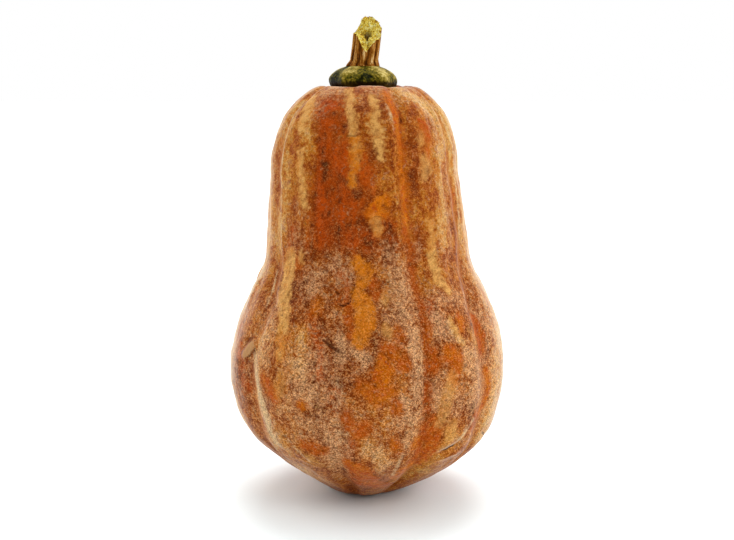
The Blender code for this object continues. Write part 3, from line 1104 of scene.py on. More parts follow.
broad = grain(0.030, 3.0)
streaky = grain(0.0035, 3.0, drawn_out(skin, place, 0.25))
mottle = grain(0.0040, 3.0)
patch = grain(0.0085, 3.0)
blotch = grain(0.0022, 2.0)
speck = grain(0.0012, 2.0)
grit = cells(0.00040, 0.0)
dust = cells(0.00080, 0.3)
ochre_in, ochre_strength, ochre_tone = read("ochre")
orange_in, orange_strength, orange_tone = read("orange")
crack_in, crack_strength, _ = read("crack")
scar_in, scar_strength, _ = read("scar")
red_stain, dark_stain_and_shade, tan_stain = read("stain")
ridge_highlight_and_wear, wax_bloom, _ = read("bloom")
valley, crease, level = (number_at(skin, name) for name in ("valley", "crease", "level"))
bulb = (level + patch * 0.05 + mottle * 0.04 + broad * 0.03).between(0.13, 0.088)
print("rind fields:", len(skin.nodes), "nodes")

# %% [markdown]
# ## Layers of paint
#
# Paint is built up from the back, first the brown skin and then each mark over it, and the
# shader does the same: every Mix node lays one paint over the ones before, with a field as
# its share. A ramp gives the skin itself, since its tones run into each other.


# %% Two ways to colour by a field
def mixed(tree, share, first, second):
    """A colour that goes from the first to the second as the share goes from 0 to 1."""
    made = node(tree, "ShaderNodeMix", data_type="RGBA")
    for slot, value in ((0, share), (6, first), (7, second)):
        join(tree, value, made.inputs[slot])
    return made.outputs[2]


def toned(tree, value, tones):
    """A colour picked from a row of tones by a value from 0 to 1."""
    ramp = node(tree, "ShaderNodeValToRGB", {0: value})
    stops = ramp.color_ramp.elements
    while len(stops) < len(tones):
        stops.new(0.5)
    for stop, (at, tone) in zip(stops, tones):
        stop.position = at
        stop.color = tone
    return ramp.outputs[0]


print("helpers:", mixed.__name__, "and", toned.__name__)

# %% [markdown]
# ## Skin and stains
#
# The skin is darkest where it is stained brown and painted with shade along the grooves, and
# palest on its worn ribs. Noises of all sizes take part in its tone, each with a weight of its
# own, so that no size stands out. The red stain and the rusty flecks go over it, with edges
# that the same noises break.

# %% Rind: skin and stains
weather = broad * 0.5 + patch * 0.5 + streaky * 0.5 + mottle * 0.6 + blotch * 0.5 + speck * 0.5
# The dark layer lowers the tone: painted shade along the grooves, as well as brown stain
tone = weather + tan_stain * 0.34 - red_stain * 0.14 - dark_stain_and_shade * 0.22 - bulb * 0.06 + 0.49
colour = toned(skin, tone, SKIN_TONES)
reddened = (red_stain + mottle * 1.6 + streaky * 2.0 + patch * 0.6).between(0.1, 1.4, 0.0, 0.92)
colour = mixed(skin, reddened, colour, DEEP_RED)
rust = (blotch * 1.3 + mottle * 0.9 + patch * 0.6 - tan_stain * 0.1).between(0.04, 0.30, 0.0, 0.75)
colour = mixed(skin, rust, colour, RUST_AND_CREASE_SHADE)
print("skin and stains:", len(skin.nodes), "nodes")

# %% [markdown]
# ## Orange and ochre marks
#
# A crisp mark has a depth inside its edge in mm. Noise is added to that depth before it is
# cut off, which frays the edge and leaves the middle whole. Each mark's own tone, with a
# little noise, picks its paint between two: orange to red, or yellow to burnt ochre. The
# paint is also thinner in places, so the skin shows through.

# %% Rind: orange and ochre
ragged = mottle * 3.6 + blotch * 3.2 + speck * 2.4
orange_here = (orange_in + ragged).between(-2.0, 1.6) * orange_strength
orange_share = (orange_tone + mottle * 1.8 + blotch * 1.2 + speck * 0.8).between(0.1, 0.9)
orange_paint = mixed(skin, orange_share, ORANGE_SKIN, RED_ORANGE)
colour = mixed(skin, orange_here * (blotch * 2.2 + mottle * 1.2 + 0.78), colour, orange_paint)
ochre_here = (ochre_in + ragged).between(-1.5, 1.3) * ochre_strength
ochre_share = (ochre_tone + mottle * 1.2 + speck * 0.8).between(0.1, 0.9)
ochre_paint = mixed(skin, ochre_share, YELLOW_OCHRE, BURNT_OCHRE)
colour = mixed(skin, ochre_here * (blotch * 1.6 + 0.82), colour, ochre_paint)
marked = ochre_here.math("MAXIMUM", orange_here)
print("with orange and ochre:", len(skin.nodes), "nodes")

# %% [markdown]
# ## Worn and highlit ridges, shaded creases and wax
#
# The highest ridges are rubbed pale, and their lit crests and flanks get a painted highlight;
# the creases are darkened with rust and painted shade. Over most of the bulb lies a wax bloom
# that breaks up into fine specks, thinner on the neck, near the foot and over the crisp marks.
# It is a share of grey paint and not a layer of its own, because real bloom is thinner than any
# mesh.

# %% Rind: ridges, creases and wax
# Painted highlight on lit ridges, as well as worn pale ridges
wear_and_highlight = (ridge_highlight_and_wear + streaky * 0.8 + blotch * 0.8 + speck * 0.7).between(0.15, 1.0, 0.0, 0.8)
colour = mixed(skin, wear_and_highlight, colour, WHITE_RIDGE_AND_HIGHLIGHT)
# Painted shade: the creases are darkened towards rust
colour = mixed(skin, (crease + blotch * 1.5 + mottle).between(0.2, 1.2, 0.0, 0.45), colour, RUST_AND_CREASE_SHADE)
bare = 1.0 - marked * 0.8
low_down = level.between(0.035, 0.0)
unevenly = broad * 0.4 + patch * 0.6 + mottle
bloom = wax_bloom * 0.65 + bulb * 0.27 - low_down * 0.7 + valley * bulb * 0.15
bloom = (bloom + unevenly + 0.04) * bare
powder = bloom * 0.72 + blotch * 0.9 + speck * 1.0 + dust * 0.25 - 0.14
specks = powder.between(0.0, 0.75, 0.0, 0.76)
colour = mixed(skin, specks, colour, WAX_GREY)
print("with wax:", len(skin.nodes), "nodes")

# %% [markdown]
# ## The finest grain
#
# Close up, the skin is peppered with dark pores and pale grains of wax, and the pale grains
# are painted glints as well. Cells of random brightness give that grain, because smooth noise
# at this size looks like threads instead of powder. The dark ones are mixed in, and the pale
# ones are added as light.

# %% Rind: pores and grains
pores = (dust + speck * 0.8).between(0.15, 0.7, 0.0, 0.5) * (bulb * 0.5 + 0.5)
colour = mixed(skin, pores, colour, DARK_BROWN)
strong = (bulb * 0.20 + specks * 0.45 + 0.56) * (1.0 - marked * 0.4)
colour = mixed(skin, grit.between(0.0, 0.5, 0.0, 0.66) * strong, colour, DARK_BROWN)
# Pale grains added as light: wax grains, and painted glints as well
light = grit.between(-0.05, -0.5, 0.0, 0.30) * strong * (bulb * 0.4 + 0.6 - reddened * 0.5)
values = {0: GRAIN_AND_GLINT_TINT, 1: vector(skin, light, light, light), 2: colour}
colour = node(skin, "ShaderNodeVectorMath", values, operation="MULTIPLY_ADD").outputs[0]
print("with its grain:", len(skin.nodes), "nodes")

# %% [markdown]
# ## Cracks and scars
#
# A crack is a thin dark line through everything above it, and a healed wound closes with
# pale cork. They come last, because the one cuts the skin and the other grows over it.

# %% Rind: cracks and scars
split = (crack_in + speck * 0.8 + mottle * 0.5).between(-0.25, 0.25) * crack_strength
colour = mixed(skin, split * 0.9, colour, DARK_BROWN)
scar_here = (scar_in + speck).between(-0.3, 0.5) * scar_strength
colour = mixed(skin, scar_here * 0.8, colour, CORK)
skin.links.new(colour, shader.inputs["Base Color"])
print("rind's colour:", len(skin.nodes), "nodes")

# %% [markdown]
# ## How the skin takes the light
#
# Wax powder scatters light, so the skin is rough where it is waxy and a little smoother on
# the bare marks, and its edges look paler than its middle, as on velvet; a sheen gives
# that. The bump is for the pitting that is finer than the mesh: all larger relief is real.

# %% Rind: gloss and bump
PIT_DEPTH = 0.00050
join(skin, specks * 0.3 + 0.5 + mottle * 0.2 - ochre_here * 0.06, shader.inputs["Roughness"])
pitted = patch * 1.2 + mottle * 1.1 + blotch * 0.7 + speck * 0.4 - grit * 0.06
height = pitted + specks * 0.2 - split * 0.9
values = {"Height": height, "Strength": 0.8, "Distance": PIT_DEPTH}
bump = node(skin, "ShaderNodeBump", values)
skin.links.new(bump.outputs[0], shader.inputs["Normal"])
shader.inputs["Specular IOR Level"].default_value = 0.025
facing = Field(skin, node(skin, "ShaderNodeLayerWeight", {"Blend": 0.5}).outputs["Facing"])
off_ridge = (1.0 - valley * 2.0).math("MAXIMUM", 0.0) * level.between(0.0, 0.04, 0.1, 1.0)
velvet = facing.between(0.35, 1.0, 0.0, 0.75) * off_ridge * (bulb * 0.25 + 0.75)
join(skin, velvet, shader.inputs["Sheen Weight"])
shader.inputs["Sheen Roughness"].default_value = 0.45
shader.inputs["Sheen Tint"].default_value = (1.0, 0.94, 0.80, 1.0)
print("rind finished with", len(skin.nodes), "nodes")

# %% [markdown]
# ## The fruit takes its place
#
# The finished mesh stands at the world's origin, unturned, where the solid model stands.
# It rides on the part's one body and replaces the plain fruit of the packed model.

# %% Place the fruit
fruit_mesh.vertices.foreach_set("co", points.ravel())
fruit_mesh.update()
fruit = bpy.data.objects.new("squash_fruit", fruit_mesh)
scene.collection.objects.link(fruit)
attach(fruit, "root")
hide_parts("fruit")
print("fruit placed:", len(fruit_mesh.polygons), "faces")

# %% [markdown]
# ## The stem
#
# A squash stem is a dry, five-cornered woody shaft that widens into a fleshy collar, and
# here it was torn off, not cut. A loft suits it: rows of points go up the collar and the
# shaft to the torn rim, and back in over the torn face to its hollow. Every row is a
# plain formula, so the lobes, the ridges and the tear stay where the solid model has them.

# %% The stem's sizes
# Stem and fruit are separate solids, so a thin seam is left between them
SEAM_GAP = 0.0004
STEM_BASE = HEIGHT - SOCKET_DEPTH + SEAM_GAP
COLLAR_RADIUS = 0.0145
COLLAR_HEIGHT = 0.0125
SHAFT_RADIUS = 0.0060
TORN_MIDDLE = 0.0258
HOLLOW_RADIUS = 0.0016
HOLLOW_DEPTH = 0.0036
COLLAR = (
    (0.0, 0.0),
    (0.80, 0.0),
    (0.93, 0.25),
    (1.00, 0.50),
    (0.92, 0.72),
    (0.73, 0.89),
    (0.50, 1.00),
)
LOBES = 5
LOBE_DEPTH = 0.0008
LOBE_START = 2.6
RIDGE_HEIGHT = 0.0006
RIDGE_START = 0.3
FINE_RIDGE_HEIGHT = 0.00013
FLARE_SHARE = 0.22
# The torn rim round the stem: (azimuth, height over the collar's underside)
TORN_RIM = (
    (0, 0.0188),
    (18, 0.0200),
    (34, 0.0228),
    (62, 0.0238),
    (88, 0.0268),
    (112, 0.0296),
    (145, 0.0324),
    (172, 0.0340),
    (204, 0.0336),
    (216, 0.0308),
    (238, 0.0278),
    (268, 0.0262),
    (300, 0.0262),
    (325, 0.0238),
    (345, 0.0203),
)
# The shaft's middle line: (height over the collar's underside, x, y)
SHAFT_LINE = (
    (0.0, -0.0010, 0.0),
    (0.0115, -0.0018, 0.0),
    (0.016, -0.0011, 0.0),
    (0.022, -0.0003, 0.0),
    (0.034, 0.0009, 0.0006),
)
STEM_COLUMNS, COLLAR_ROWS, SHAFT_ROWS, TORN_ROWS = 180, 40, 56, 34
# Each row says which tissue it is by one of these numbers
COLLAR_ZONE, SHAFT_ZONE, TORN_ZONE = 0.0, 1.0, 2.0
STEM_TOP = STEM_BASE + max(height for _, height in TORN_RIM)
print("stem from", round(STEM_BASE, 4), "to", round(STEM_TOP, 4))

# %% [markdown]
# ## Curves and lumps as arrays
#
# The stem's rows are few and its rules are short, so arrays of numbers do here what nodes
# did for the fruit. The same Catmull-Rom curve runs through the collar's outline and the
# torn rim, and points at even distances along it make even rows.


# %% Curves in arrays
def smooth_curve(points, steps=SPAN_STEPS):
    """Points on a Catmull-Rom curve through the given points, with steps to a span."""
    p = np.array(points, float)
    p = np.vstack([2 * p[0] - p[1], p, 2 * p[-1] - p[-2]])
    t = np.linspace(0, 1, steps, endpoint=False)[:, None]
    spans = []
    for before, start, end, after in zip(p, p[1:], p[2:], p[3:]):
        spans.append(
            start
            + 0.5 * t * (end - before)
            + 0.5 * t**2 * (2 * before - 5 * start + 4 * end - after)
            + 0.5 * t**3 * (3 * start - before - 3 * end + after)
        )
    return np.vstack([*spans, p[-2:-1]])


def evenly(line, count):
    """count + 1 points along a line, at even distances."""
    lengths = np.concatenate([[0], np.cumsum(np.linalg.norm(np.diff(line, axis=0), axis=1))])
    at = np.linspace(0, lengths[-1], count + 1)
    return np.column_stack([np.interp(at, lengths, line[:, k]) for k in (0, 1)])


def step(low, high, value):
    """0 up to the low value and 1 from the high one, with a smooth rise between them."""
    t = np.clip((value - low) / (high - low), 0, 1)
    return t * t * (3 - 2 * t)


shaft_middle = smooth_curve(SHAFT_LINE)
print("shaft's middle line:", len(shaft_middle), "points")

# %% [markdown]
# ## The torn rim
#
# The fibres gave way one by one, so the rim isn't only slanted but rough. A lattice noise
# at two sizes does that. It reads a place on a circle, so it closes on itself.


# %% Lumps and the rim
# Each layer of lumps is (height, size, seed); on the rim the size is a share of its radius
RIM_LUMPS = ((0.0006, 0.35, 0.0), (0.0004, 0.12, 4.0))


def lumps(places, layers):
    """Noise at each place, as a sum of layers of lumps."""
    total = 0.0
    for high, size, seed in layers:
        flat = places.reshape(-1, 3) / size + seed
        total = total + high * np.array([noise.noise(Vector(p)) for p in flat])
    return total.reshape(places.shape[:-1])


turns = np.radians(np.arange(STEM_COLUMNS) * 360 / STEM_COLUMNS)
rim = smooth_curve([(a + shift, h) for shift in (-360, 0, 360) for a, h in TORN_RIM])
rim = np.interp(np.degrees(turns), rim[:, 0], rim[:, 1])
circle = np.column_stack([np.cos(turns), np.sin(turns), turns * 0])
rim += lumps(circle, RIM_LUMPS)
print("torn rim", rim.min().round(4), "to", rim.max().round(4))

# %% [markdown]
# ## Collar, shaft and torn face as rows
#
# Each row gives a radius and a height for every column. The collar swells into five
# lobes; the shaft keeps ten ridges with finer ones between; the torn face runs inwards
# and dips into the hollow. Each row also says which of the three it is, for the finish.

# %% The stem's rows
profile = smooth_curve([(COLLAR_RADIUS * r, COLLAR_HEIGHT * h) for r, h in COLLAR])
profile = evenly(profile, COLLAR_ROWS)
lobes = np.cos(LOBES * turns + LOBE_START) + 0.5 * np.cos(2 * LOBES * turns)
ridges = np.abs(np.cos(5 * turns + RIDGE_START))
fine_ridges = 0.5 * np.cos(17 * turns + 1.0) + 0.5 * np.cos(29 * turns + 2.6)
rows, zones, holes = [], [], []
flat_row = np.zeros(STEM_COLUMNS)
for radius, height in profile:
    bulge = step(0, 0.3 * COLLAR_HEIGHT, height) * LOBE_DEPTH * lobes * radius / COLLAR_RADIUS
    rows.append((radius + bulge, flat_row + height))
    zones.append(COLLAR_ZONE)
    holes.append(flat_row)
start = profile[-1, 0]
for row in range(1, SHAFT_ROWS + 1):
    share = row / SHAFT_ROWS
    waist = start + (SHAFT_RADIUS - start) * step(0, FLARE_SHARE, share)
    radius = waist + RIDGE_HEIGHT * (ridges - ridges.mean()) + FINE_RIDGE_HEIGHT * fine_ridges
    rows.append((radius, COLLAR_HEIGHT + (rim - COLLAR_HEIGHT) * share))
    zones.append(SHAFT_ZONE)
    holes.append(flat_row)
edge = rows[-1][0]
for row in range(1, TORN_ROWS + 1):
    share = 1 - row / TORN_ROWS
    hollow = 1 - step(0.5 * HOLLOW_RADIUS, 1.5 * HOLLOW_RADIUS, edge * share)
    rows.append((edge * share, TORN_MIDDLE + (rim - TORN_MIDDLE) * share - HOLLOW_DEPTH * hollow))
    zones.append(TORN_ZONE)
    holes.append(hollow)
stem_points = []
for radius, height in rows:
    x, y = (np.interp(height, shaft_middle[:, 0], shaft_middle[:, k]) for k in (1, 2))
    x, y = x + radius * np.sin(turns), y - radius * np.cos(turns)
    stem_points.append(np.stack([x, y, height], -1))
stem_points = np.array(stem_points)
zones = np.array(zones)
print("stem rows:", len(rows))

# %% [markdown]
# ## Rough tissue
#
# Torn pith is spongy, so lumps of three sizes push the torn face up and down. The collar
# has a dry, pimpled skin. Lumps follow place, not columns, so they stay round.

# %% Lumps on the stem
TORN_LUMPS = ((0.0009, 0.0024, 0.0), (0.0007, 0.0012, 7.0), (0.0003, 0.0005, 3.0))
COLLAR_LUMPS = ((0.00035, 0.0030, 11.0), (0.00015, 0.0010, 5.0))
# The collar's underside stays smooth up to this height, where it meets the fruit
SMOOTH_UP_TO = 0.002
torn = zones == TORN_ZONE
collar = zones == COLLAR_ZONE
stem_points[torn, :, 2] += lumps(stem_points[torn], TORN_LUMPS)
green = stem_points[collar]
push = lumps(green, COLLAR_LUMPS) * step(0.0, SMOOTH_UP_TO, green[..., 2])
outward = green * (1, 1, 0) / np.maximum(np.linalg.norm(green[..., :2], axis=-1), 1e-6)[..., None]
stem_points[collar] += outward * push[..., None]
stem_points[..., 2] += STEM_BASE
stem_points -= SHIFT
print("stem box:", stem_points.min((0, 1)).round(4), stem_points.max((0, 1)).round(4))

# %% [markdown]
# ## Closing the loft
#
# Rings of points become a solid when neighbouring rings are joined by quads and the first
# and last ones by fans of triangles. The attributes for the finish go in with the points,
# one value a ring, a column or a point, so the paint can't drift off the shape.


# %% The stem's mesh
def closed_loft(name, rings, values):
    """A closed mesh of rings of points from the bottom up, with attributes by ring and column."""
    count, columns = rings.shape[:2]
    bottom, top = (ring.mean(0)[None] for ring in (rings[0], rings[-1]))
    places = np.vstack([bottom, rings[1:-1].reshape(-1, 3), top])
    last = len(places) - 1
    faces = []
    for c in range(columns):
        d = (c + 1) % columns
        faces.append((0, 1 + d, 1 + c))
        faces.append((last, last - columns + c, last - columns + d))
        for low in range(1, 1 + (count - 3) * columns, columns):
            faces.append((low + c, low + d, low + columns + d, low + columns + c))
    mesh = bpy.data.meshes.new(name)
    mesh.from_pydata(places.tolist(), [], faces)
    mesh.shade_smooth()
    for key, rows_of in values.items():
        grid = np.broadcast_to(rows_of, (count, columns))
        flat = np.concatenate([grid[0, :1], grid[1:-1].ravel(), grid[-1, :1]])
        mesh.attributes.new(key, "FLOAT", "POINT").data.foreach_set("value", flat)
    return mesh


stem_values = {
    "zone": zones[:, None],
    "lobe": np.cos(LOBES * turns + LOBE_START)[None, :],
    "ridge": ridges[None, :],
    "hole": np.array(holes),
}
stem_mesh = closed_loft("squash_stem", stem_points, stem_values)
stem_mesh.materials.append(wood)
print("stem mesh:", len(stem_mesh.polygons), "faces")

# %% [markdown]
# ## Torn fibres
#
# Where a woody stem tears, splinters of its fibres stand up along the break. They are
# all alike but for length and lean, so a tree scatters them: seeded points on the torn
# face, a thin cone on each, turned mostly upwards. The long ones stand on the rim only.


# %% One kind of fibre
FIBRE_SIZES = {
    "Seed": ("NodeSocketInt", 5),
    "Splinters per m2": ("NodeSocketFloat", 2.5e6),
    "Splinter length": ("NodeSocketFloat", 0.0012),
    "Fibres per m2": ("NodeSocketFloat", 2.4e6),
    "Fibre length": ("NodeSocketFloat", 0.0007),
}
CONE = {"Vertices": 5, "Radius Top": 0.00002, "Radius Bottom": 0.00024}
# A random lean between these two is added to the face's normal
LEAST_LEAN, MOST_LEAN = (-0.5, -0.5, 0.5), (0.5, 0.5, 1.2)
SHORTEST, LONGEST = 0.35, 1.0
fibre_tree, asked = tree_with("Torn fibres", FIBRE_SIZES, "Wood")


def scattered(density, length, chosen, extra):
    """Cones of about that length on the chosen faces, standing mostly upright."""
    seed = Field(fibre_tree, asked["Seed"]) + extra
    values = {"Mesh": asked["Geometry"], "Selection": chosen, "Density": density, "Seed": seed}
    spots = node(fibre_tree, "GeometryNodeDistributePointsOnFaces", values)
    values = {0: LEAST_LEAN, 1: MOST_LEAN}
    lean = node(fibre_tree, "FunctionNodeRandomValue", values, data_type="FLOAT_VECTOR")
    values = {0: lean.outputs[0], 1: spots.outputs["Normal"]}
    values = {"Vector": node(fibre_tree, "ShaderNodeVectorMath", values).outputs[0]}
    turned = node(fibre_tree, "FunctionNodeAlignRotationToVector", values, axis="Z")
    cone = node(fibre_tree, "GeometryNodeMeshCone", CONE | {"Depth": length})
    values = {2: SHORTEST, 3: LONGEST}
    size_of = node(fibre_tree, "FunctionNodeRandomValue", values, data_type="FLOAT")
    values = {
        "Points": spots.outputs["Points"],
        "Instance": cone.outputs["Mesh"],
        "Rotation": turned.outputs[0],
        "Scale": size_of.outputs[1],
    }
    return node(fibre_tree, "GeometryNodeInstanceOnPoints", values).outputs[0]


def all_of(*geometries):
    """Several geometries joined to one."""
    made = node(fibre_tree, "GeometryNodeJoinGeometry")
    for geometry in geometries:
        fibre_tree.links.new(geometry, made.inputs[0])
    return made.outputs[0]


print("fibre sizes:", list(asked))

# %% [markdown]
# ## Fibres on the rim and on the face
#
# The stem's rows carry a zone: 0 on the collar, 1 on the shaft and 2 on the torn face. Where
# shaft and face meet it is halfway, and that picks the rim. The fibres become real faces,
# get the face's zone, so that they are coloured as pith, and are joined to the stem.

# %% The fibres' tree
kept_zone = node(fibre_tree, "GeometryNodeInputNamedAttribute", {"Name": "zone"})
zone = Field(fibre_tree, kept_zone.outputs["Attribute"])
on_rim = (zone - (SHAFT_ZONE + TORN_ZONE) / 2).math("ABSOLUTE").math("LESS_THAN", 0.2)
on_face = zone.math("GREATER_THAN", 1.4)
splinters = scattered(asked["Splinters per m2"], asked["Splinter length"], on_rim, 1)
short = scattered(asked["Fibres per m2"], asked["Fibre length"], on_face, 2)
values = {"Geometry": all_of(splinters, short)}
standing = node(fibre_tree, "GeometryNodeRealizeInstances", values).outputs[0]
values = {"Geometry": standing, "Name": "zone", "Value": TORN_ZONE}
as_pith = node(fibre_tree, "GeometryNodeStoreNamedAttribute", values).outputs[0]
values = {"Geometry": all_of(asked["Geometry"], as_pith), "Material": asked["Wood"]}
dressed = node(fibre_tree, "GeometryNodeSetMaterial", values).outputs[0]
fibre_tree.links.new(dressed, fibre_tree.nodes.new("NodeGroupOutput").inputs[0])
fibre_values = {name: value for name, (_, value) in FIBRE_SIZES.items()} | {"Wood": wood}
bare_faces = len(stem_mesh.polygons)
stem_mesh = grown("squash_stem", fibre_tree, fibre_values, stem_mesh)
print("fibres:", len(stem_mesh.polygons) - bare_faces, "faces")

# %% [markdown]
# ## The stem's colours
#
# The collar stays green longest: nearly black-green in its hollows, straw-coloured on its
# lobes, partly its own colour and partly painted shade and highlight. The bark above is
# brown, with pale worn ridges, and the pith inside is yellow. The zone attribute picks one
# of the three, and its small steps blend their borders.


# %% Wood: fields
wood.use_nodes = True
bark = wood.node_tree
wood_shader = bark.nodes["Principled BSDF"]
wood_place = node(bark, "ShaderNodeTexCoord").outputs["Object"]
wood_x, _, wood_z = parts(bark, wood_place)
over = wood_z - STEM_BASE
zone, lobe, ridge = (number_at(bark, name) for name in ("zone", "lobe", "ridge"))
along_bark = drawn_out(bark, wood_place, 0.12)


def wood_grain(size, detail, where=None):
    """Noise about 0 on the stem, with grains of about that size in metres."""
    return noise_field(bark, where or wood_place, 1 / size, detail)


streak = wood_grain(0.0011, 2.0, along_bark)
thread = wood_grain(0.0005, 1.0, along_bark)
lump = wood_grain(0.0020, 2.0)
crumb = wood_grain(0.0008, 2.0)
print("wood fields:", len(bark.nodes), "nodes")

# %% [markdown]
# ## Tones of the stem
#
# Each tissue has its own row of tones, from its hollows to its worn tops. Green, brown and
# yellow don't run into each other on a real stem, so one long ramp would not do.

# %% Wood: tones
COLLAR_TONES = (
    (0.00, shade(18, 18, 0)),
    (0.25, shade(52, 52, 4)),
    (0.50, shade(112, 98, 18)),
    (0.72, shade(164, 140, 52)),
    (1.00, shade(214, 192, 112)),
)
BARK_TONES = (
    (0.00, shade(74, 36, 2)),
    (0.35, shade(134, 74, 14)),
    (0.60, shade(172, 116, 44)),
    (1.00, shade(234, 196, 136)),
)
PITH_TONES = (
    (0.00, shade(120, 74, 10)),
    (0.30, shade(206, 160, 40)),
    (0.60, shade(244, 218, 88)),
    (1.00, shade(255, 246, 170)),
)
HOLLOW_BROWN_AND_SHADE = shade(96, 56, 8)
ROOT_BROWN_AND_SHADE = shade(34, 16, 2)
print("tones:", len(COLLAR_TONES), "green,", len(BARK_TONES), "brown,", len(PITH_TONES), "yellow")

# %% [markdown]
# ## Bark, collar and pith
#
# Three ramps of tones are laid side by side, and the zone attribute chooses between them.
# The bark is drawn out along the stem, as its fibres are; the collar is blotched, greener
# between its lobes, with painted light on its top and right side, painted shade between its
# lobes, and painted shade and dark cork where it meets the fruit; the pith is crumbly and
# yellow, and its hollow is painted dark brown, as browned pith and painted shade.

# %% Wood: colour
# Painted light and shade: the collar's tone rises on its lobes, towards its top and towards +x, and
# falls between the lobes and low down
collar_tone = lobe * 0.24 + wood_x * 9.0 + lump * 1.1 + crumb * 1.1 + 0.42
collar_tone = collar_tone + over.between(0.005, 0.012, -0.12, 0.16)
colour = toned(bark, collar_tone, COLLAR_TONES)
# Painted shade as well as dark cork: the collar turns dark brown where it meets the fruit
against_fruit = (over + lump * 0.0012).between(0.0068, 0.0052, 0.0, 0.85)
colour = mixed(bark, against_fruit, colour, ROOT_BROWN_AND_SHADE)
bark_tone = (ridge - 0.64) * 0.6 + streak * 1.3 + thread * 0.9 + crumb * 0.4 + 0.42
bark_tone = bark_tone + over.between(0.012, 0.0155, -0.22, 0.0)
colour = mixed(bark, zone.between(0.4, 0.9), colour, toned(bark, bark_tone, BARK_TONES))
pith_tone = lump * 1.5 + crumb * 2.0 + thread * 0.6 + 0.56
# The pith's hollow is painted dark brown: painted shade in the hollow, as well as browned pith
hollow_here = (number_at(bark, "hole") + crumb * 0.6).between(-0.1, 0.6, 0.0, 0.85)
pith = mixed(bark, hollow_here, toned(bark, pith_tone, PITH_TONES), HOLLOW_BROWN_AND_SHADE)
colour = mixed(bark, (zone + crumb * 0.8).between(1.3, 1.7), colour, pith)
bark.links.new(colour, wood_shader.inputs["Base Color"])
print("wood's colour:", len(bark.nodes), "nodes")

# %% [markdown]
# ## How the stem takes the light
#
# The collar is still a little waxy, and the bark and the pith are dry and dull. Bump gives
# the finest fibres of the bark, which are too thin to be worth faces.

# %% Wood: gloss and bump
FIBRE_DEPTH = 0.0005
join(bark, zone.between(0.3, 1.0, 0.45, 0.8), wood_shader.inputs["Roughness"])
wood_height = lump * 0.8 + crumb * 0.8 + streak * zone.between(0.4, 1.0) * 1.2 + thread * 0.5
values = {"Height": wood_height, "Strength": 0.8, "Distance": FIBRE_DEPTH}
wood_bump = node(bark, "ShaderNodeBump", values)
bark.links.new(wood_bump.outputs[0], wood_shader.inputs["Normal"])
wood_shader.inputs["Specular IOR Level"].default_value = 0.03
print("wood:", len(bark.nodes), "nodes")

# %% [markdown]
# ## The stem takes its place
#
# The stem sits in the fruit's socket as a piece of its own, on the same body.

# %% Place the stem
stem = bpy.data.objects.new("squash_stem", stem_mesh)
scene.collection.objects.link(stem)
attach(stem, "root")
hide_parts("stem")
print("stem placed:", len(stem_mesh.polygons), "faces")

# %% [markdown]
# ## The camera
#
# The photograph was taken from half a metre away, level with the collar and looking a
# little down. Its distance was found from the outline: nearer, and the foot would look
# smaller than it does. The focal length follows from the squash's size in the picture.

# %% Camera
camera = bpy.data.objects.new("camera", bpy.data.cameras.new("camera"))
camera.data.sensor_width = 36.0
camera.data.lens = FOCAL_PIXELS / PICTURE[0] * camera.data.sensor_width
camera.location = CAMERA_AT
camera.rotation_euler = (math.pi / 2 - CAMERA_PITCH, 0, 0)
scene.collection.objects.link(camera)
scene.camera = camera
print("camera:", round(camera.data.lens, 1), "mm lens, at", CAMERA_AT[:])

# %% [markdown]
# ## The studio
#
# The photograph was taken in a light tent: a bright white surround, a large soft light
# overhead that whitens the floor, and a softer one from each side that lifts the edges
# of the squash. The shadow is therefore small and soft, right under the fruit.

# %% Floor
FLOOR_WHITE = (0.86, 0.925, 0.935, 1)
FAR = 8.0
white = bpy.data.materials.new("studio white")
white.use_nodes = True
white_shader = white.node_tree.nodes["Principled BSDF"]
white_shader.inputs["Base Color"].default_value = FLOOR_WHITE
white_shader.inputs["Roughness"].default_value = 0.9
floor_mesh = bpy.data.meshes.new("floor")
corners = [(-FAR, -FAR, 0), (FAR, -FAR, 0), (FAR, FAR, 0), (-FAR, FAR, 0)]
floor_mesh.from_pydata(corners, [], [(0, 1, 2, 3)])
floor_mesh.materials.append(white)
floor = bpy.data.objects.new("floor", floor_mesh)
scene.collection.objects.link(floor)
print("floor:", floor.dimensions.x, "m wide")

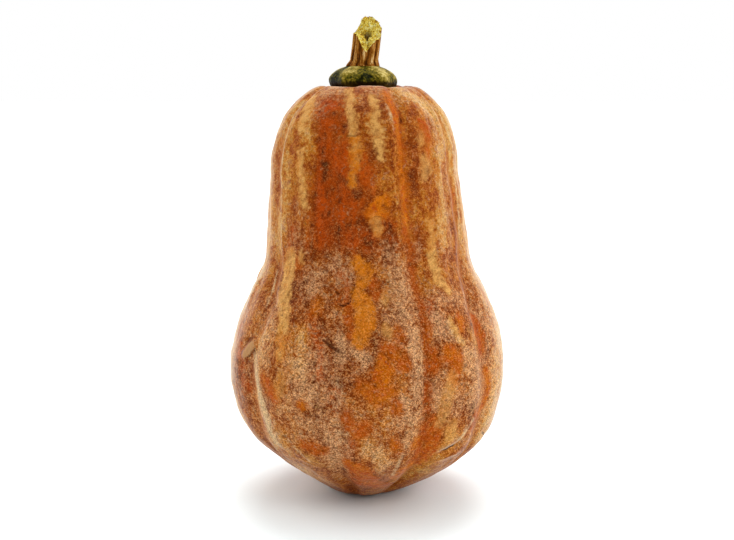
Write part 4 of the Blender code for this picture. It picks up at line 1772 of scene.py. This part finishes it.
# %% [markdown]
# ## The lights
#
# A sun with a wide disc stands for the cloth roof of the tent, a little behind the squash,
# so that the soft shadow falls forward. Two side panels lift the edges, and a weak fill
# and a key from the right keep the front from going flat.


# %% Lights
def aim(name, lamp, place, target):
    """Puts a light at a place, turned to face a target."""
    light = bpy.data.objects.new(name, lamp)
    light.location = place
    light.rotation_euler = (Vector(target) - Vector(place)).to_track_quat("-Z", "Y").to_euler()
    scene.collection.objects.link(light)


def softbox(name, place, target, width, depth, watts):
    """A rectangular soft light at a place, facing a target."""
    lamp = bpy.data.lights.new(name, "AREA")
    lamp.shape = "RECTANGLE"
    lamp.size, lamp.size_y, lamp.energy = width, depth, watts
    aim(name, lamp, place, target)


sky = bpy.data.lights.new("tent roof", "SUN")
sky.energy, sky.angle = 2.1, math.radians(42)
aim("tent roof", sky, (0.05, 0.5, 1.0), (0, 0, 0))
softbox("left side", (-1.0, 0.35, 0.45), (0, 0, 0.1), 0.9, 1.2, 8.0)
softbox("right side", (1.0, 0.35, 0.30), (0, 0, 0.1), 0.9, 1.2, 9.0)
softbox("front fill", (0.0, -0.9, 0.12), (0, 0, 0.08), 0.6, 0.2, 0.7)
softbox("key", (0.7, -0.75, 0.75), (0, 0, 0.1), 0.5, 0.5, 4.0)

# %% [markdown]
# ## The tent's walls
#
# The background is pure white to the camera. To the squash it is a white room, brighter
# behind and above than in front, since the camera's side is the open one.

# %% The tent
world = bpy.data.worlds.new("light tent")
world.use_nodes = True
tent = world.node_tree
_, toward_back, up = parts(tent, node(tent, "ShaderNodeTexCoord").outputs["Generated"])
seen = Field(tent, node(tent, "ShaderNodeLightPath").outputs["Is Camera Ray"])
glow = toward_back.between(-0.9, 0.5, 0.45, 1.2) * up.between(0.0, 0.7, 0.3, 1.1)
tent_light = seen.math("MAXIMUM", glow)
background = tent.nodes["Background"]
background.inputs["Color"].default_value = (1, 1, 1, 1)
join(tent, tent_light, background.inputs["Strength"])
scene.world = world
scene.view_settings.view_transform = "Standard"
print("tent nodes:", len(tent.nodes))

# %% [markdown]
# ## Sizes and finish
#
# The dressed squash must be the same size as the solid one.
